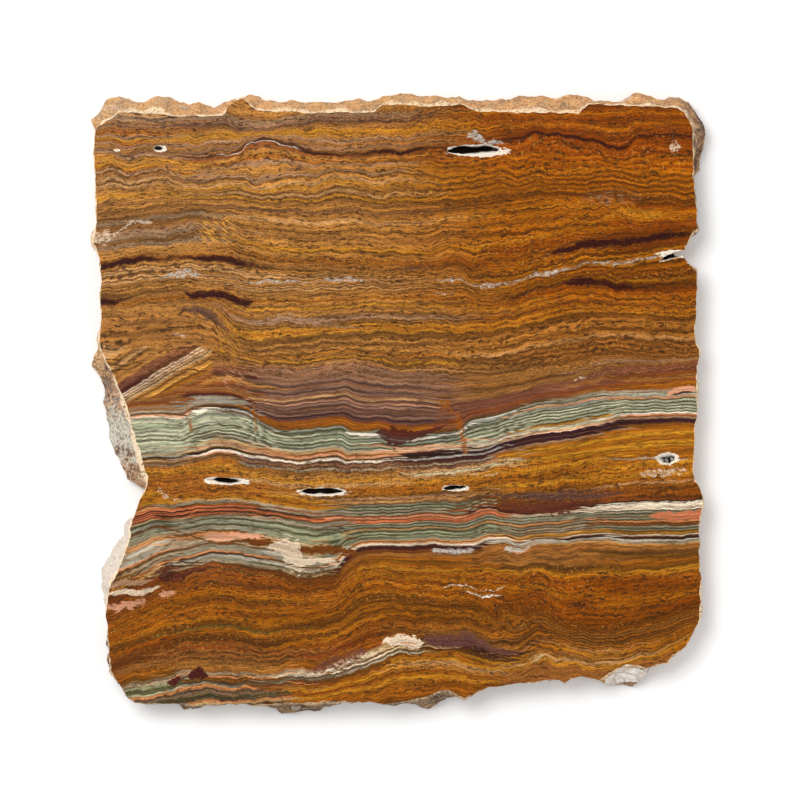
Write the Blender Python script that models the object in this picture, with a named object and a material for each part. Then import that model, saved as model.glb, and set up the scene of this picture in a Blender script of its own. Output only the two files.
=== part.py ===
"""Rough onyx slab: one piece of banded onyx marble, sawn flat above and below and broken by hand all round.

The slab lies flat. +Z is up, the underside is at z = 0, and the origin is under the middle of the slab's
bounding box. The bands of the stone run along X. Lengths are in millimetres until the mesh is made.
"""

import math

import bmesh
import bpy
from mathutils import Matrix, Vector, noise

MM = 0.001

SLAB_THICKNESS = 20.0
OUTLINE_STEP = 3.5          # longest straight run left in the ragged outline
ARRIS_WANDER = 0.5          # how far the sawn face's edge strays from the straight
ARRIS_WAVELENGTH = 5.0

# A hammer-broken side is a chain of shallow shell-shaped hollows. Each is a cell of a Voronoi pattern.
SHELL_SIZE = 17.0
SHELL_DEPTH = 3.0
RIPPLE_SIZE = 6.5
RIPPLE_DEPTH = 1.1
RIDGE_DISTANCE = 0.8        # in cells, from a hollow's middle to the ridge round it
RIDGE_STANDS_OUT = 0.3      # share of a hollow's depth that its ridge stands proud of the side

# Where a side cuts across the bands, the hard bands stand out as upright ribs.
RIB_SPACING = 8.0
RIB_DEPTH = 1.1

# In places the break ran down in two steps, with a ledge between them.
LEDGE_DEPTH = 1.8
LEDGE_LENGTH = 26.0
LEDGE_SLOPE_HEIGHT = 2.0

# A side that slopes out less than this is undercut: below the face's edge it is tucked back.
FULL_REACH = 4.0

# The broken side from the sawn face down to the underside. For each level: height as a share of the
# thickness, how much of the side's reach is used, how far an undercut side is tucked back, and how much
# of the roughness it has.
SIDE_PROFILE = [
    (1.00, 0.00, 0.0, 0.0),
    (0.93, 0.20, 0.5, 0.35),
    (0.82, 0.38, 1.1, 0.8),
    (0.68, 0.62, 1.4, 1.0),
    (0.54, 0.86, 1.6, 1.0),
    (0.40, 1.00, 1.8, 1.0),
    (0.26, 1.06, 2.1, 1.0),
    (0.12, 0.96, 2.6, 0.9),
    (0.00, 0.78, 3.2, 0.4),
]

# Stations round the sawn face, clockwise from the top left corner: x and y on the face's edge, then how
# far the broken side reaches out beyond that edge, in x and in y. No reach means the side is undercut.
FAR_EDGE = [
    (-152.5, 133.5, -1.0, 1.0),
    (-152.0, 136.5, -1.75, 5.5),
    (-148.0, 140.25, -1.0, 7.25),
    (-143.5, 143.0, -1.0, 8.5),
    (-140.0, 145.5, -0.5, 8.0),
    (-135.5, 145.25, -2.0, 6.25),
    (-131.0, 145.5, 0.0, 5.0),
    (-124.5, 145.0, 0.0, 8.0),
    (-118.5, 144.5, 0.5, 8.0),
    (-113.0, 144.0, 1.0, 7.5),
    (-106.5, 143.75, 1.0, 5.75),
    (-100.5, 143.5, 0.0, 7.5),
    (-93.5, 143.5, 0.5, 4.5),
    (-88.5, 143.75, 0.5, 6.25),
    (-87.0, 145.5, 1.5, 5.0),
    (-85.75, 148.5, 1.75, 3.0),
    (-82.0, 151.5, 0.5, 1.0),
    (-77.5, 152.5, 0.5, 1.25),
    (-74.5, 150.0, 1.0, 4.5),
    (-71.5, 147.0, 1.5, 7.0),
    (-67.5, 146.0, 1.0, 6.5),
    (-57.0, 146.0, 0.0, 5.5),
    (-49.5, 145.5, 0.0, 6.25),
    (-34.5, 145.5, 0.0, 7.5),
    (-19.5, 145.5, 0.0, 8.5),
    (-13.0, 145.75, 0.0, 8.25),
    (-11.0, 147.5, 2.0, 6.5),
    (-9.0, 149.25, 3.0, 5.75),
    (-1.0, 149.25, 1.5, 6.0),
    (6.0, 149.0, 1.0, 6.25),
    (12.0, 148.5, 0.0, 6.0),
    (18.0, 148.25, -1.5, 4.25),
    (24.5, 148.5, -1.0, 4.5),
    (29.0, 149.25, -1.0, 4.75),
    (33.0, 148.75, -2.0, 6.5),
    (35.5, 147.25, 0.0, 5.5),
    (39.5, 146.0, 0.5, 6.25),
    (45.5, 146.0, 0.0, 6.25),
    (51.5, 145.75, 0.0, 7.25),
    (57.5, 145.5, -1.5, 6.0),
    (65.5, 145.25, -2.0, 8.25),
    (74.0, 145.0, -1.0, 9.5),
    (83.0, 145.0, -0.5, 9.0),
    (89.5, 145.0, 0.0, 7.5),
    (91.5, 146.75, 2.5, 5.25),
    (95.0, 149.25, 2.5, 1.5),
    (101.0, 149.75, 0.5, 2.25),
    (110.5, 149.5, 0.0, 3.25),
    (120.5, 148.5, 0.0, 4.75),
    (130.5, 148.25, 0.0, 5.25),
    (139.0, 147.75, 2.0, 5.5),
    (142.5, 145.0, 3.0, 5.5),
    (146.0, 141.0, 4.5, 4.0),
    (146.75, 137.5, 5.75, 4.0),
]
RIGHT_EDGE = [
    (147.0, 132.5, 6.75, 4.5),
    (147.25, 126.5, 5.75, 0.0),
    (147.5, 120.0, 4.0, -2.0),
    (147.75, 114.0, 2.25, -1.5),
    (148.5, 108.5, 0.5, 0.0),
    (148.5, 101.5, 0.0, 0.0),
    (149.5, 95.5, 0.0, 0.0),
    (149.5, 87.0, 0.0, 0.0),
    (147.5, 85.0, 0.0, 0.0),
    (145.5, 81.0, 0.0, 0.0),
    (143.25, 76.75, 0.0, 0.0),
    (141.25, 74.5, 0.0, 0.0),
    (142.5, 72.25, 0.0, 0.0),
    (145.5, 69.5, 0.0, 0.0),
    (149.0, 66.25, 0.0, 0.0),
    (149.5, 58.0, 0.0, 0.0),
    (149.0, 50.5, 0.0, 0.0),
    (148.75, 41.5, 0.0, 0.0),
    (148.5, 33.5, 0.0, 0.0),
    (149.5, 29.5, 0.0, 0.0),
    (151.0, 26.0, 0.0, 0.0),
    (150.0, 20.0, 0.0, 0.0),
    (149.0, 11.0, 0.0, 0.0),
    (149.0, 3.5, 0.0, 0.0),
    (149.25, -7.5, 0.0, 0.0),
    (148.25, -16.0, 0.0, 0.0),
    (148.25, -23.5, 0.0, 0.0),
    (147.5, -32.5, 0.0, 0.0),
    (148.5, -38.5, 0.0, 0.0),
    (150.5, -42.5, 0.0, 0.0),
    (152.25, -47.0, 0.0, 0.0),
    (152.5, -51.5, 0.0, 0.0),
    (151.5, -56.0, 0.0, 0.0),
    (150.75, -60.5, 0.0, 0.0),
    (150.5, -66.0, 0.0, 0.0),
    (150.75, -71.5, 0.0, 0.0),
    (150.5, -77.5, 0.0, 0.0),
    (151.0, -83.5, 0.5, 0.0),
    (151.5, -88.5, 0.75, 0.0),
    (151.25, -94.0, 2.25, -1.5),
    (151.0, -99.0, 1.5, -0.5),
    (150.75, -104.5, 1.0, 0.0),
    (150.75, -109.0, 0.0, 0.0),
    (148.5, -113.5, 0.0, 0.0),
    (146.0, -118.0, 0.0, 0.0),
    (143.5, -122.5, 0.0, 0.0),
    (140.5, -124.5, 1.5, -1.0),
    (137.0, -126.5, 2.0, -1.5),
    (134.5, -130.75, 0.5, -0.5),
]
NEAR_EDGE = [
    (129.5, -131.5, 0.0, 0.0),
    (126.0, -132.75, 0.0, 0.0),
    (123.5, -132.75, 0.5, -2.75),
    (120.0, -131.75, 1.0, -6.75),
    (116.0, -131.25, 1.5, -11.25),
    (112.0, -131.75, -0.5, -10.75),
    (107.5, -134.5, -1.0, -7.75),
    (103.5, -137.0, -1.0, -4.25),
    (100.0, -139.0, 0.0, 0.0),
    (95.5, -138.0, 0.0, 0.0),
    (90.5, -137.25, 0.0, 0.0),
    (86.0, -138.5, 0.0, 0.0),
    (83.0, -140.5, 0.0, 0.0),
    (80.0, -139.0, 0.0, 0.0),
    (76.0, -138.75, -0.5, -1.75),
    (72.0, -139.25, 0.0, 0.0),
    (65.5, -140.5, 0.0, 0.0),
    (58.0, -140.75, 0.0, 0.0),
    (53.0, -141.75, 0.0, 0.0),
    (44.5, -142.75, 0.0, 0.0),
    (40.5, -144.25, 1.0, -0.5),
    (37.0, -146.5, 1.0, -0.5),
    (32.5, -148.25, 0.0, -0.5),
    (29.0, -146.25, -1.0, -2.25),
    (25.0, -144.25, -1.5, -5.25),
    (20.5, -144.25, -1.5, -8.25),
    (16.0, -146.0, -1.5, -7.5),
    (11.0, -148.5, -0.5, -4.75),
    (6.5, -149.0, 0.0, -3.0),
    (1.5, -149.5, 0.5, -2.75),
    (-3.5, -150.25, 0.0, -1.25),
    (-9.0, -150.75, 0.0, 0.0),
    (-14.5, -149.75, 0.0, 0.0),
    (-23.5, -150.0, 0.0, 0.0),
    (-28.0, -149.75, -1.0, -2.0),
    (-34.5, -149.5, 0.0, -3.75),
    (-45.5, -150.25, 0.0, -4.0),
    (-52.0, -150.5, 0.5, -4.75),
    (-59.5, -150.75, 0.0, -4.0),
    (-66.5, -151.0, 0.0, -3.0),
    (-72.0, -151.25, 0.0, -1.5),
    (-79.5, -150.75, 0.0, -1.0),
    (-87.0, -150.75, 0.0, -2.25),
    (-93.0, -150.75, 0.0, -2.0),
    (-97.0, -151.5, 0.0, -2.0),
    (-102.0, -151.75, -1.5, -3.25),
    (-107.5, -150.75, -0.5, -3.25),
    (-111.5, -151.0, 0.0, -1.25),
    (-118.0, -151.0, 0.0, 0.0),
    (-125.5, -150.75, 0.0, 0.0),
    (-132.0, -150.25, 0.0, 0.0),
    (-135.5, -148.0, 0.0, 0.0),
]
LEFT_EDGE = [
    (-137.5, -144.5, 0.0, 0.0),
    (-140.0, -141.0, 0.0, 0.0),
    (-142.5, -137.5, -1.5, -0.5),
    (-144.25, -134.5, -2.0, -1.0),
    (-144.75, -130.0, -2.5, -0.5),
    (-145.0, -124.5, -1.75, 0.0),
    (-145.25, -119.5, -2.5, 0.0),
    (-146.0, -114.5, -1.5, 0.5),
    (-146.25, -109.5, -1.25, 0.5),
    (-146.75, -105.0, -2.0, -0.5),
    (-146.25, -101.0, -3.0, 2.0),
    (-145.5, -94.5, -3.5, 3.5),
    (-143.5, -89.5, -5.25, 4.5),
    (-141.0, -85.0, -6.5, 5.0),
    (-139.0, -80.0, -6.5, 5.0),
    (-137.0, -74.5, -6.0, 3.75),
    (-135.25, -69.0, -4.75, 3.0),
    (-134.25, -63.5, -3.0, 2.5),
    (-133.5, -58.5, -1.0, 1.0),
    (-132.0, -54.0, 0.0, 0.0),
    (-130.0, -49.0, 0.0, 0.0),
    (-127.75, -44.5, -1.0, 0.25),
    (-125.75, -40.0, -3.25, -1.25),
    (-125.75, -36.5, -6.75, -2.75),
    (-127.25, -33.0, -8.5, -4.75),
    (-128.5, -29.0, -8.75, -4.5),
    (-129.5, -24.5, -10.5, -3.0),
    (-131.25, -19.5, -12.0, -2.5),
    (-133.0, -13.5, -13.0, -1.5),
    (-135.0, -6.5, -12.75, -1.0),
    (-136.5, 0.0, -12.75, 0.0),
    (-139.5, 6.0, -10.5, 0.5),
    (-141.5, 11.0, -9.75, 0.5),
    (-143.5, 16.0, -9.25, 2.5),
    (-147.0, 21.5, -5.0, 1.5),
    (-149.25, 26.5, -1.75, 0.5),
    (-150.0, 31.5, -1.25, 0.0),
    (-149.25, 38.5, -1.5, 0.0),
    (-149.25, 45.5, -1.0, 0.0),
    (-149.75, 50.0, -0.25, 0.0),
    (-149.75, 55.5, -1.0, 0.0),
    (-149.25, 61.0, -0.75, 0.0),
    (-149.5, 66.5, -1.0, 0.0),
    (-150.0, 72.0, -0.75, 0.0),
    (-151.5, 76.5, -0.5, 0.0),
    (-152.75, 81.0, -0.5, 0.5),
    (-152.25, 85.5, 0.0, 0.0),
    (-151.75, 90.5, 0.0, 0.0),
    (-152.0, 97.5, -0.25, 0.0),
    (-152.0, 108.5, -1.25, 0.5),
    (-152.25, 115.5, -1.25, 0.0),
    (-152.5, 122.5, -1.25, 0.0),
]

# Lens-shaped hollows that open in the sawn face, between the bands: middle x and y, length along the
# band, width across it, depth, and the band's slope there in degrees.
HOLLOWS = {
    "long_hollow_far": (37.0, 126.6, 28.0, 5.0, 7.0, 1.0),
    "hollow_left": (-87.2, -38.8, 20.5, 3.1, 5.0, -1.0),
    "hollow_middle": (-38.0, -44.2, 23.0, 3.6, 5.0, 0.0),
    "hollow_small": (28.0, -42.4, 12.0, 2.6, 4.0, 6.0),
    "hollow_round": (133.6, -27.8, 9.4, 5.2, 5.0, 2.0),
    "hollow_corner": (-120.0, 127.4, 5.0, 2.4, 2.5, 2.0),
    "crack_right": (137.5, 73.6, 15.0, 2.8, 6.0, 20.0),
}
HOLLOW_SEGMENTS = 18
HOLLOW_RINGS = 8
HOLLOW_RAGGEDNESS = 0.16    # of the hollow's own radius


def clear_scene():
    for old in list(bpy.data.objects):
        bpy.data.objects.remove(old, do_unlink=True)


def onyx_material():
    """Honey brown banded onyx, polished."""
    material = bpy.data.materials.new("banded_onyx")
    material.use_nodes = True
    shader = material.node_tree.nodes["Principled BSDF"]
    shader.inputs["Base Color"].default_value = (0.36, 0.17, 0.045, 1.0)
    shader.inputs["Roughness"].default_value = 0.3
    shader.inputs["Metallic"].default_value = 0.0
    return material


def ragged_outline():
    """The stations joined by straight runs, cut to short steps: (face x, face y, reach x, reach y)."""
    stations = FAR_EDGE + RIGHT_EDGE + NEAR_EDGE + LEFT_EDGE
    outline = []
    for here, following in zip(stations, stations[1:] + stations[:1]):
        run = math.dist(here[:2], following[:2])
        steps = max(1, math.ceil(run / OUTLINE_STEP))
        for step in range(steps):
            share = step / steps
            outline.append([a + (b - a) * share for a, b in zip(here, following)])
    return outline


def outward_directions(points):
    """Unit vectors that point out of a clockwise outline, each smoothed over its neighbours."""
    count = len(points)
    directions = []
    for i in range(count):
        before = Vector(points[i - 2])
        after = Vector(points[(i + 2) % count])
        along = (after - before).normalized()
        directions.append(Vector((-along.y, along.x)))
    return directions


def shell_relief(place, size, depth):
    """Height of a surface of shell-shaped hollows: ridges stand out between the hollows' middles."""
    distances, _ = noise.voronoi(place / size)
    return depth * (min(1.0, (distances[0] / RIDGE_DISTANCE) ** 2) - 1.0 + RIDGE_STANDS_OUT)


def ledge_setback(place, sloping):
    """How far a stepped break stands back, above its ledge on a sloping side and below it otherwise."""
    stretch = noise.noise(Vector((place.x, place.y, 40.0)) / LEDGE_LENGTH)
    strength = max(0.0, min(1.0, (abs(stretch) - 0.12) / 0.1))
    ledge_height = SLAB_THICKNESS * (0.5 + 0.7 * stretch)
    above = (place.z - ledge_height) / LEDGE_SLOPE_HEIGHT
    share = max(0.0, min(1.0, 0.5 + above if sloping else 0.5 - above))
    return LEDGE_DEPTH * strength * share


def roughness_of_break(place, out, sloping):
    """How far the broken side stands out at a place, in the direction out."""
    ribs = RIB_DEPTH * abs(out.x) * noise.noise(Vector((place.z * 0.12, place.y, 9.0)) / RIB_SPACING)
    shells = shell_relief(place, SHELL_SIZE, SHELL_DEPTH)
    ripples = shell_relief(place, RIPPLE_SIZE, RIPPLE_DEPTH)
    return shells + ripples + ribs - ledge_setback(place, sloping)


def broken_side_rings(outline):
    """One ring of points for each level of SIDE_PROFILE, from the sawn face down to the underside."""
    face = [(x, y) for x, y, _, _ in outline]
    outward = outward_directions(face)
    rings = []
    for height, reach, tuck, roughness in SIDE_PROFILE:
        ring = []
        for (x, y, reach_x, reach_y), out in zip(outline, outward):
            slope = min(1.0, math.hypot(reach_x, reach_y) / FULL_REACH)
            place = Vector((x, y, height * SLAB_THICKNESS))
            wander = ARRIS_WANDER * noise.noise(Vector((x, y, 3.0)) / ARRIS_WAVELENGTH)
            push = wander - tuck * (1.0 - slope) + roughness * roughness_of_break(place, out, slope > 0.5)
            flat = Vector((x + reach * reach_x, y + reach * reach_y)) + out * push
            level = place.z
            if height not in (0.0, 1.0):
                level += roughness * 0.9 * noise.noise(place / 6.0)
            ring.append(Vector((flat.x, flat.y, level)))
        rings.append(ring)
    return rings


def middle_of_box(rings):
    xs = [p.x for ring in rings for p in ring]
    ys = [p.y for ring in rings for p in ring]
    return Vector(((min(xs) + max(xs)) / 2, (min(ys) + max(ys)) / 2, 0.0))


def build_stone(rings, middle):
    """The rings joined by quads, with a flat sawn face on the first and a flat underside on the last."""
    mesh = bpy.data.meshes.new("onyx_slab")
    bm = bmesh.new()
    made = [[bm.verts.new((p - middle) * MM) for p in ring] for ring in rings]
    count = len(made[0])
    for upper, lower in zip(made, made[1:]):
        for i in range(count):
            j = (i + 1) % count
            bm.faces.new((upper[i], upper[j], lower[j], lower[i]))
    bm.faces.new(made[0])
    bm.faces.new(made[-1])
    bmesh.ops.triangulate(bm, faces=[f for f in bm.faces if len(f.verts) == 4])
    bmesh.ops.recalc_face_normals(bm, faces=bm.faces[:])
    bm.to_mesh(mesh)
    bm.free()
    stone = bpy.data.objects.new("onyx_slab", mesh)
    bpy.context.scene.collection.objects.link(stone)
    return stone


def build_hollow_cutter(name, middle):
    """A ragged lens, half above the sawn face, that cuts one hollow."""
    x, y, length, width, depth, slope = HOLLOWS[name]
    mesh = bpy.data.meshes.new(name)
    bm = bmesh.new()
    bmesh.ops.create_uvsphere(bm, u_segments=HOLLOW_SEGMENTS, v_segments=HOLLOW_RINGS, radius=1.0)
    for vert in bm.verts:
        swell = 1.0 + HOLLOW_RAGGEDNESS * noise.noise(vert.co * 2.3 + Vector((x, y, 0.0)))
        vert.co = Vector((vert.co.x * length / 2, vert.co.y * width / 2, vert.co.z * depth)) * swell * MM
    bm.to_mesh(mesh)
    bm.free()
    cutter = bpy.data.objects.new(name, mesh)
    bpy.context.scene.collection.objects.link(cutter)
    face_height = Vector((0.0, 0.0, SLAB_THICKNESS))
    place = (Vector((x, y, 0.0)) - middle + face_height) * MM
    cutter.matrix_world = Matrix.Translation(place) @ Matrix.Rotation(math.radians(slope), 4, "Z")
    cutter.hide_render = True
    cutter.display_type = "WIRE"
    return cutter


def cut_hollows(stone, middle):
    for name in HOLLOWS:
        cut = stone.modifiers.new(name, "BOOLEAN")
        cut.operation = "DIFFERENCE"
        cut.solver = "EXACT"
        cut.object = build_hollow_cutter(name, middle)


def build_slab():
    clear_scene()
    rings = broken_side_rings(ragged_outline())
    middle = middle_of_box(rings)
    stone = build_stone(rings, middle)
    stone.data.materials.append(onyx_material())
    cut_hollows(stone, middle)


build_slab()
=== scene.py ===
# Rough onyx slab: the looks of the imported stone, lying on a white ground and seen from straight above.
import math

import bpy
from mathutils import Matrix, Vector, noise


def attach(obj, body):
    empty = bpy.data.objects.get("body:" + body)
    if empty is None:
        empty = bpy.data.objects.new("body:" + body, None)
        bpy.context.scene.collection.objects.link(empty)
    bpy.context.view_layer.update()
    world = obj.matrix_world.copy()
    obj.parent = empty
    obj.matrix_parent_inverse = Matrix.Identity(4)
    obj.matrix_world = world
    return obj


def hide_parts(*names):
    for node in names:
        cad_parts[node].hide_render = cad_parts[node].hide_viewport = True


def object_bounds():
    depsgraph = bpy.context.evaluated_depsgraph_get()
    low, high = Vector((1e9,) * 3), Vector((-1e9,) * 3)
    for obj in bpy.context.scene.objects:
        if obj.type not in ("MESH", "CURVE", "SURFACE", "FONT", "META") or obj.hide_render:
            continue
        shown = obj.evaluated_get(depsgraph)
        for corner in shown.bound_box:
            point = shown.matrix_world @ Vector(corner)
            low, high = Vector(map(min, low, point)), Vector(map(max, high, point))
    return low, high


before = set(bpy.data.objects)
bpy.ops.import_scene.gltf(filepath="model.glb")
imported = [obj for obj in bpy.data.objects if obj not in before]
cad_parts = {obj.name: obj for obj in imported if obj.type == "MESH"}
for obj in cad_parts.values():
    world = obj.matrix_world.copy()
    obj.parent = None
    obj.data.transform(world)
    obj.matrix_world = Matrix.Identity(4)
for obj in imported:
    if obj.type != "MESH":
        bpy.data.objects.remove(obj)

mm = 0.001
cadBox = [list(corner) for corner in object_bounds()]
print("stage 1: frame loaded, CAD box", cadBox)

photo = {
    "side": 800,                    # the photograph's frame, in pixels
    "mmPerPixel": 0.5,
    "slabMiddle": (398.2, 402.925),  # where the slab's own middle falls in that frame
}


# Small helpers

def linearColour(hexText):
    channels = [int(hexText[i:i + 2], 16) / 255 for i in (1, 3, 5)]
    return [c / 12.92 if c <= 0.04045 else ((c + 0.055) / 1.055) ** 2.4 for c in channels] + [1.0]


def add(tree, kind, *inputs, **settings):           # one node: its inputs are links, values, or None to skip
    made = tree.nodes.new("ShaderNode" + kind)
    for name, value in settings.items():
        setattr(made, name, value)
    for socket, value in zip([s for s in made.inputs if s.enabled], inputs):
        if isinstance(value, bpy.types.NodeSocket):
            tree.links.new(value, socket)
        elif value is not None:
            socket.default_value = value
    return next(s for s in made.outputs if s.enabled)


def photoToMm(x, y):                                # a place in the photograph's frame, in the slab's own mm
    middleX, middleY = photo["slabMiddle"]
    return (x - middleX) * photo["mmPerPixel"], (middleY - y) * photo["mmPerPixel"]


# The stone's colours. Calcite onyx is clear to milky calcite, stained by iron: honey and amber where the iron
# is thin, brown and plum where it is thick, sage green where it is reduced, coral and peach where it is fine
# haematite.

stain = {
    "amber": "#98570F",
    "darkAmber": "#80480C",
    "rustAmber": "#8E4C10",
    "gold": "#B67A1C",
    "honey": "#C98C3A",
    "umberGold": "#6E4510",
    "caramel": "#AC7435",
    "tan": "#B88A5A",
    "sand": "#B4976F",
    "brown": "#8A5A2C",
    "caramelBrown": "#96602B",
    "orangeBrown": "#9C612D",
    "rustBrown": "#683710",
    "rust": "#81421A",
    "umber": "#5F3C18",
    "mauve": "#85614B",
    "mauveDark": "#523832",
    "mauveGrey": "#977459",
    "brownGrey": "#7E6852",
    "plumBrown": "#70402F",
    "purpleBrown": "#7B5138",
    "plum": "#34151C",
    "wine": "#451A15",
    "wineBrown": "#552A1C",
    "plumRed": "#33110A",
    "deepUmber": "#3C240E",
    "plumGrey": "#5F3A33",
    "coral": "#C06A44",
    "orangePeach": "#CB8756",
    "peach": "#CC9270",
    "cream": "#D4BCA0",
    "ivory": "#E8DAC6",
    "greyWhite": "#B4AEA3",
    "greySand": "#9C8E79",
    "greySage": "#85836F",
    "sageGrey": "#888877",
    "sage": "#94987B",
    "ivorySage": "#B8B596",
    "sageDark": "#5E634B",
    "olive": "#3F422B",
    "greyBrown": "#54453A",
    "black": "#1C120E",
}

# Bedding surfaces across the slab, from the far side to the near side, as places in the photograph's frame.

beds = [
    [(90, 85), (710, 85)],
    [(90, 128), (120, 126), (150, 126), (185, 124), (215, 122), (230, 124), (245, 131), (262, 131),
     (275, 126), (300, 121), (345, 118), (375, 119), (400, 117), (425, 113), (450, 109), (480, 110),
     (520, 112), (560, 112), (600, 110), (640, 109), (700, 109)],
    [(90, 150), (110, 152), (130, 158), (160, 156), (185, 156), (215, 155), (235, 150), (250, 143),
     (270, 141), (285, 145), (300, 150), (315, 153), (345, 154), (375, 152), (400, 151), (430, 149),
     (480, 147), (500, 142), (520, 137), (548, 133), (575, 138), (600, 143), (608, 149), (622, 149),
     (635, 138), (668, 135), (700, 137)],
    [(90, 178), (100, 176), (110, 174), (130, 180), (145, 178), (165, 173), (180, 180), (200, 182),
     (228, 178), (245, 179), (257, 185), (270, 181), (285, 178), (315, 178), (325, 172), (345, 171),
     (360, 172), (375, 176), (395, 172), (420, 176), (450, 177), (470, 175), (490, 171), (505, 172),
     (520, 176), (540, 173), (560, 176), (600, 172), (640, 176), (700, 178)],
    [(90, 218), (150, 208), (190, 205), (240, 207), (290, 211), (345, 210), (395, 214), (440, 208),
     (480, 204), (520, 198), (560, 196), (600, 197), (640, 201), (700, 206)],
    [(90, 262), (110, 263), (130, 258), (145, 256), (165, 258), (185, 255), (200, 253), (215, 256),
     (235, 260), (250, 262), (265, 266), (282, 270), (345, 271), (375, 274), (400, 272), (430, 274),
     (455, 271), (470, 276), (500, 276), (520, 274), (545, 265), (570, 259), (600, 254), (630, 254),
     (650, 250), (680, 245), (700, 242)],
    [(90, 287), (115, 280), (135, 277), (155, 276), (175, 274), (190, 271), (210, 276), (240, 280),
     (260, 281), (290, 283), (320, 281), (345, 278), (365, 280), (395, 282), (430, 280), (455, 279),
     (475, 285), (490, 288), (505, 285), (520, 280), (545, 273), (570, 268), (600, 263), (630, 262),
     (650, 258), (680, 252), (700, 249)],
    [(90, 298), (110, 298), (130, 296), (150, 291), (180, 291), (200, 292), (215, 292), (235, 297),
     (250, 300), (275, 303), (310, 303), (340, 300), (365, 298), (395, 298), (430, 297), (460, 297),
     (480, 300), (500, 300), (520, 296), (545, 288), (570, 283), (600, 283), (620, 286), (640, 288),
     (670, 287), (700, 285)],
    [(90, 318), (150, 312), (190, 310), (207, 314), (222, 328), (236, 341), (255, 345), (300, 342),
     (340, 338), (400, 338), (440, 338), (480, 335), (510, 331), (540, 325), (570, 318), (600, 314),
     (640, 316), (700, 318)],
    [(90, 372), (130, 365), (200, 357), (225, 358), (240, 361), (270, 365), (300, 367), (325, 362),
     (345, 359), (370, 362), (400, 368), (440, 370), (480, 371), (510, 368), (540, 361), (570, 357),
     (600, 352), (620, 350), (650, 354), (700, 356)],
    [(90, 400), (130, 398), (170, 393), (200, 390), (235, 393), (260, 401), (300, 400), (325, 397),
     (345, 394), (356, 400), (375, 401), (395, 399), (430, 402), (450, 404), (470, 402), (500, 398),
     (520, 392), (545, 385), (570, 381), (600, 374), (620, 369), (660, 366), (700, 364)],
    [(90, 424), (132, 420), (155, 417), (180, 419), (192, 411), (210, 407), (230, 408), (250, 413),
     (262, 424), (300, 431), (320, 430), (340, 427), (350, 432), (375, 432), (400, 440), (418, 438),
     (440, 434), (458, 432), (470, 421), (500, 415), (515, 409), (531, 403), (561, 400), (580, 397),
     (600, 393), (630, 392), (668, 392), (700, 389)],
    [(90, 464), (141, 458), (155, 456), (173, 457), (195, 455), (215, 450), (228, 449), (245, 453),
     (262, 456), (300, 461), (318, 459), (338, 457), (350, 461), (375, 460), (400, 458), (420, 457),
     (440, 454), (455, 453), (475, 451), (500, 444), (520, 438), (546, 434), (570, 431), (592, 427),
     (615, 421), (640, 418), (700, 417)],
    [(90, 488), (140, 482), (180, 480), (222, 479), (260, 485), (300, 490), (325, 491), (347, 489),
     (400, 487), (450, 486), (470, 484), (500, 478), (530, 476), (560, 472), (600, 466), (640, 460),
     (667, 457), (700, 455)],
    [(90, 526), (135, 518), (150, 513), (167, 512), (185, 511), (200, 508), (213, 507), (240, 508),
     (262, 510), (280, 513), (300, 517), (320, 519), (340, 517), (375, 518), (400, 517), (425, 515),
     (445, 517), (464, 518), (475, 512), (490, 508), (505, 514), (535, 513), (560, 511), (580, 508),
     (600, 506), (640, 506), (700, 503)],
    [(90, 622), (120, 606), (140, 594), (160, 582), (180, 574), (200, 569), (213, 565), (235, 566),
     (250, 570), (270, 573), (290, 578), (310, 580), (335, 578), (345, 565), (360, 553), (400, 551),
     (433, 551), (475, 552), (490, 545), (505, 545), (520, 548), (535, 544), (560, 544), (580, 541),
     (600, 540), (640, 543), (700, 541)],
    [(90, 655), (140, 640), (180, 630), (200, 625), (225, 624), (250, 628), (280, 628), (300, 626),
     (330, 620), (345, 612), (365, 600), (385, 597), (400, 600), (450, 605), (480, 608), (500, 612),
     (540, 610), (555, 620), (575, 628), (600, 628), (640, 622), (670, 615), (700, 605)],
    [(90, 698), (126, 690), (150, 684), (170, 680), (185, 674), (205, 676), (230, 677), (260, 678),
     (280, 676), (300, 673), (325, 671), (345, 663), (360, 657), (385, 648), (400, 642), (422, 641),
     (445, 638), (470, 640), (480, 646), (495, 652), (510, 652), (525, 647), (540, 636), (555, 637),
     (570, 644), (600, 647), (640, 640), (670, 632), (700, 620)],
    [(90, 716), (126, 703), (150, 697), (175, 690), (190, 686), (203, 684), (230, 687), (260, 687),
     (280, 685), (300, 682), (330, 681), (345, 678), (375, 665), (400, 656), (430, 655), (450, 653),
     (465, 657), (480, 664), (500, 668), (520, 665), (535, 657), (543, 655), (560, 660), (600, 663),
     (640, 655), (680, 640), (700, 630)],
    [(90, 735), (300, 718), (400, 708), (500, 702), (545, 692), (600, 698), (700, 682)],
]

# What lies between each bed and the next, as one or more columns from left to right. A column starts at "x",
# its bands are read down the line x = "at", and "blend" says how gradually it takes over from the one before.

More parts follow.
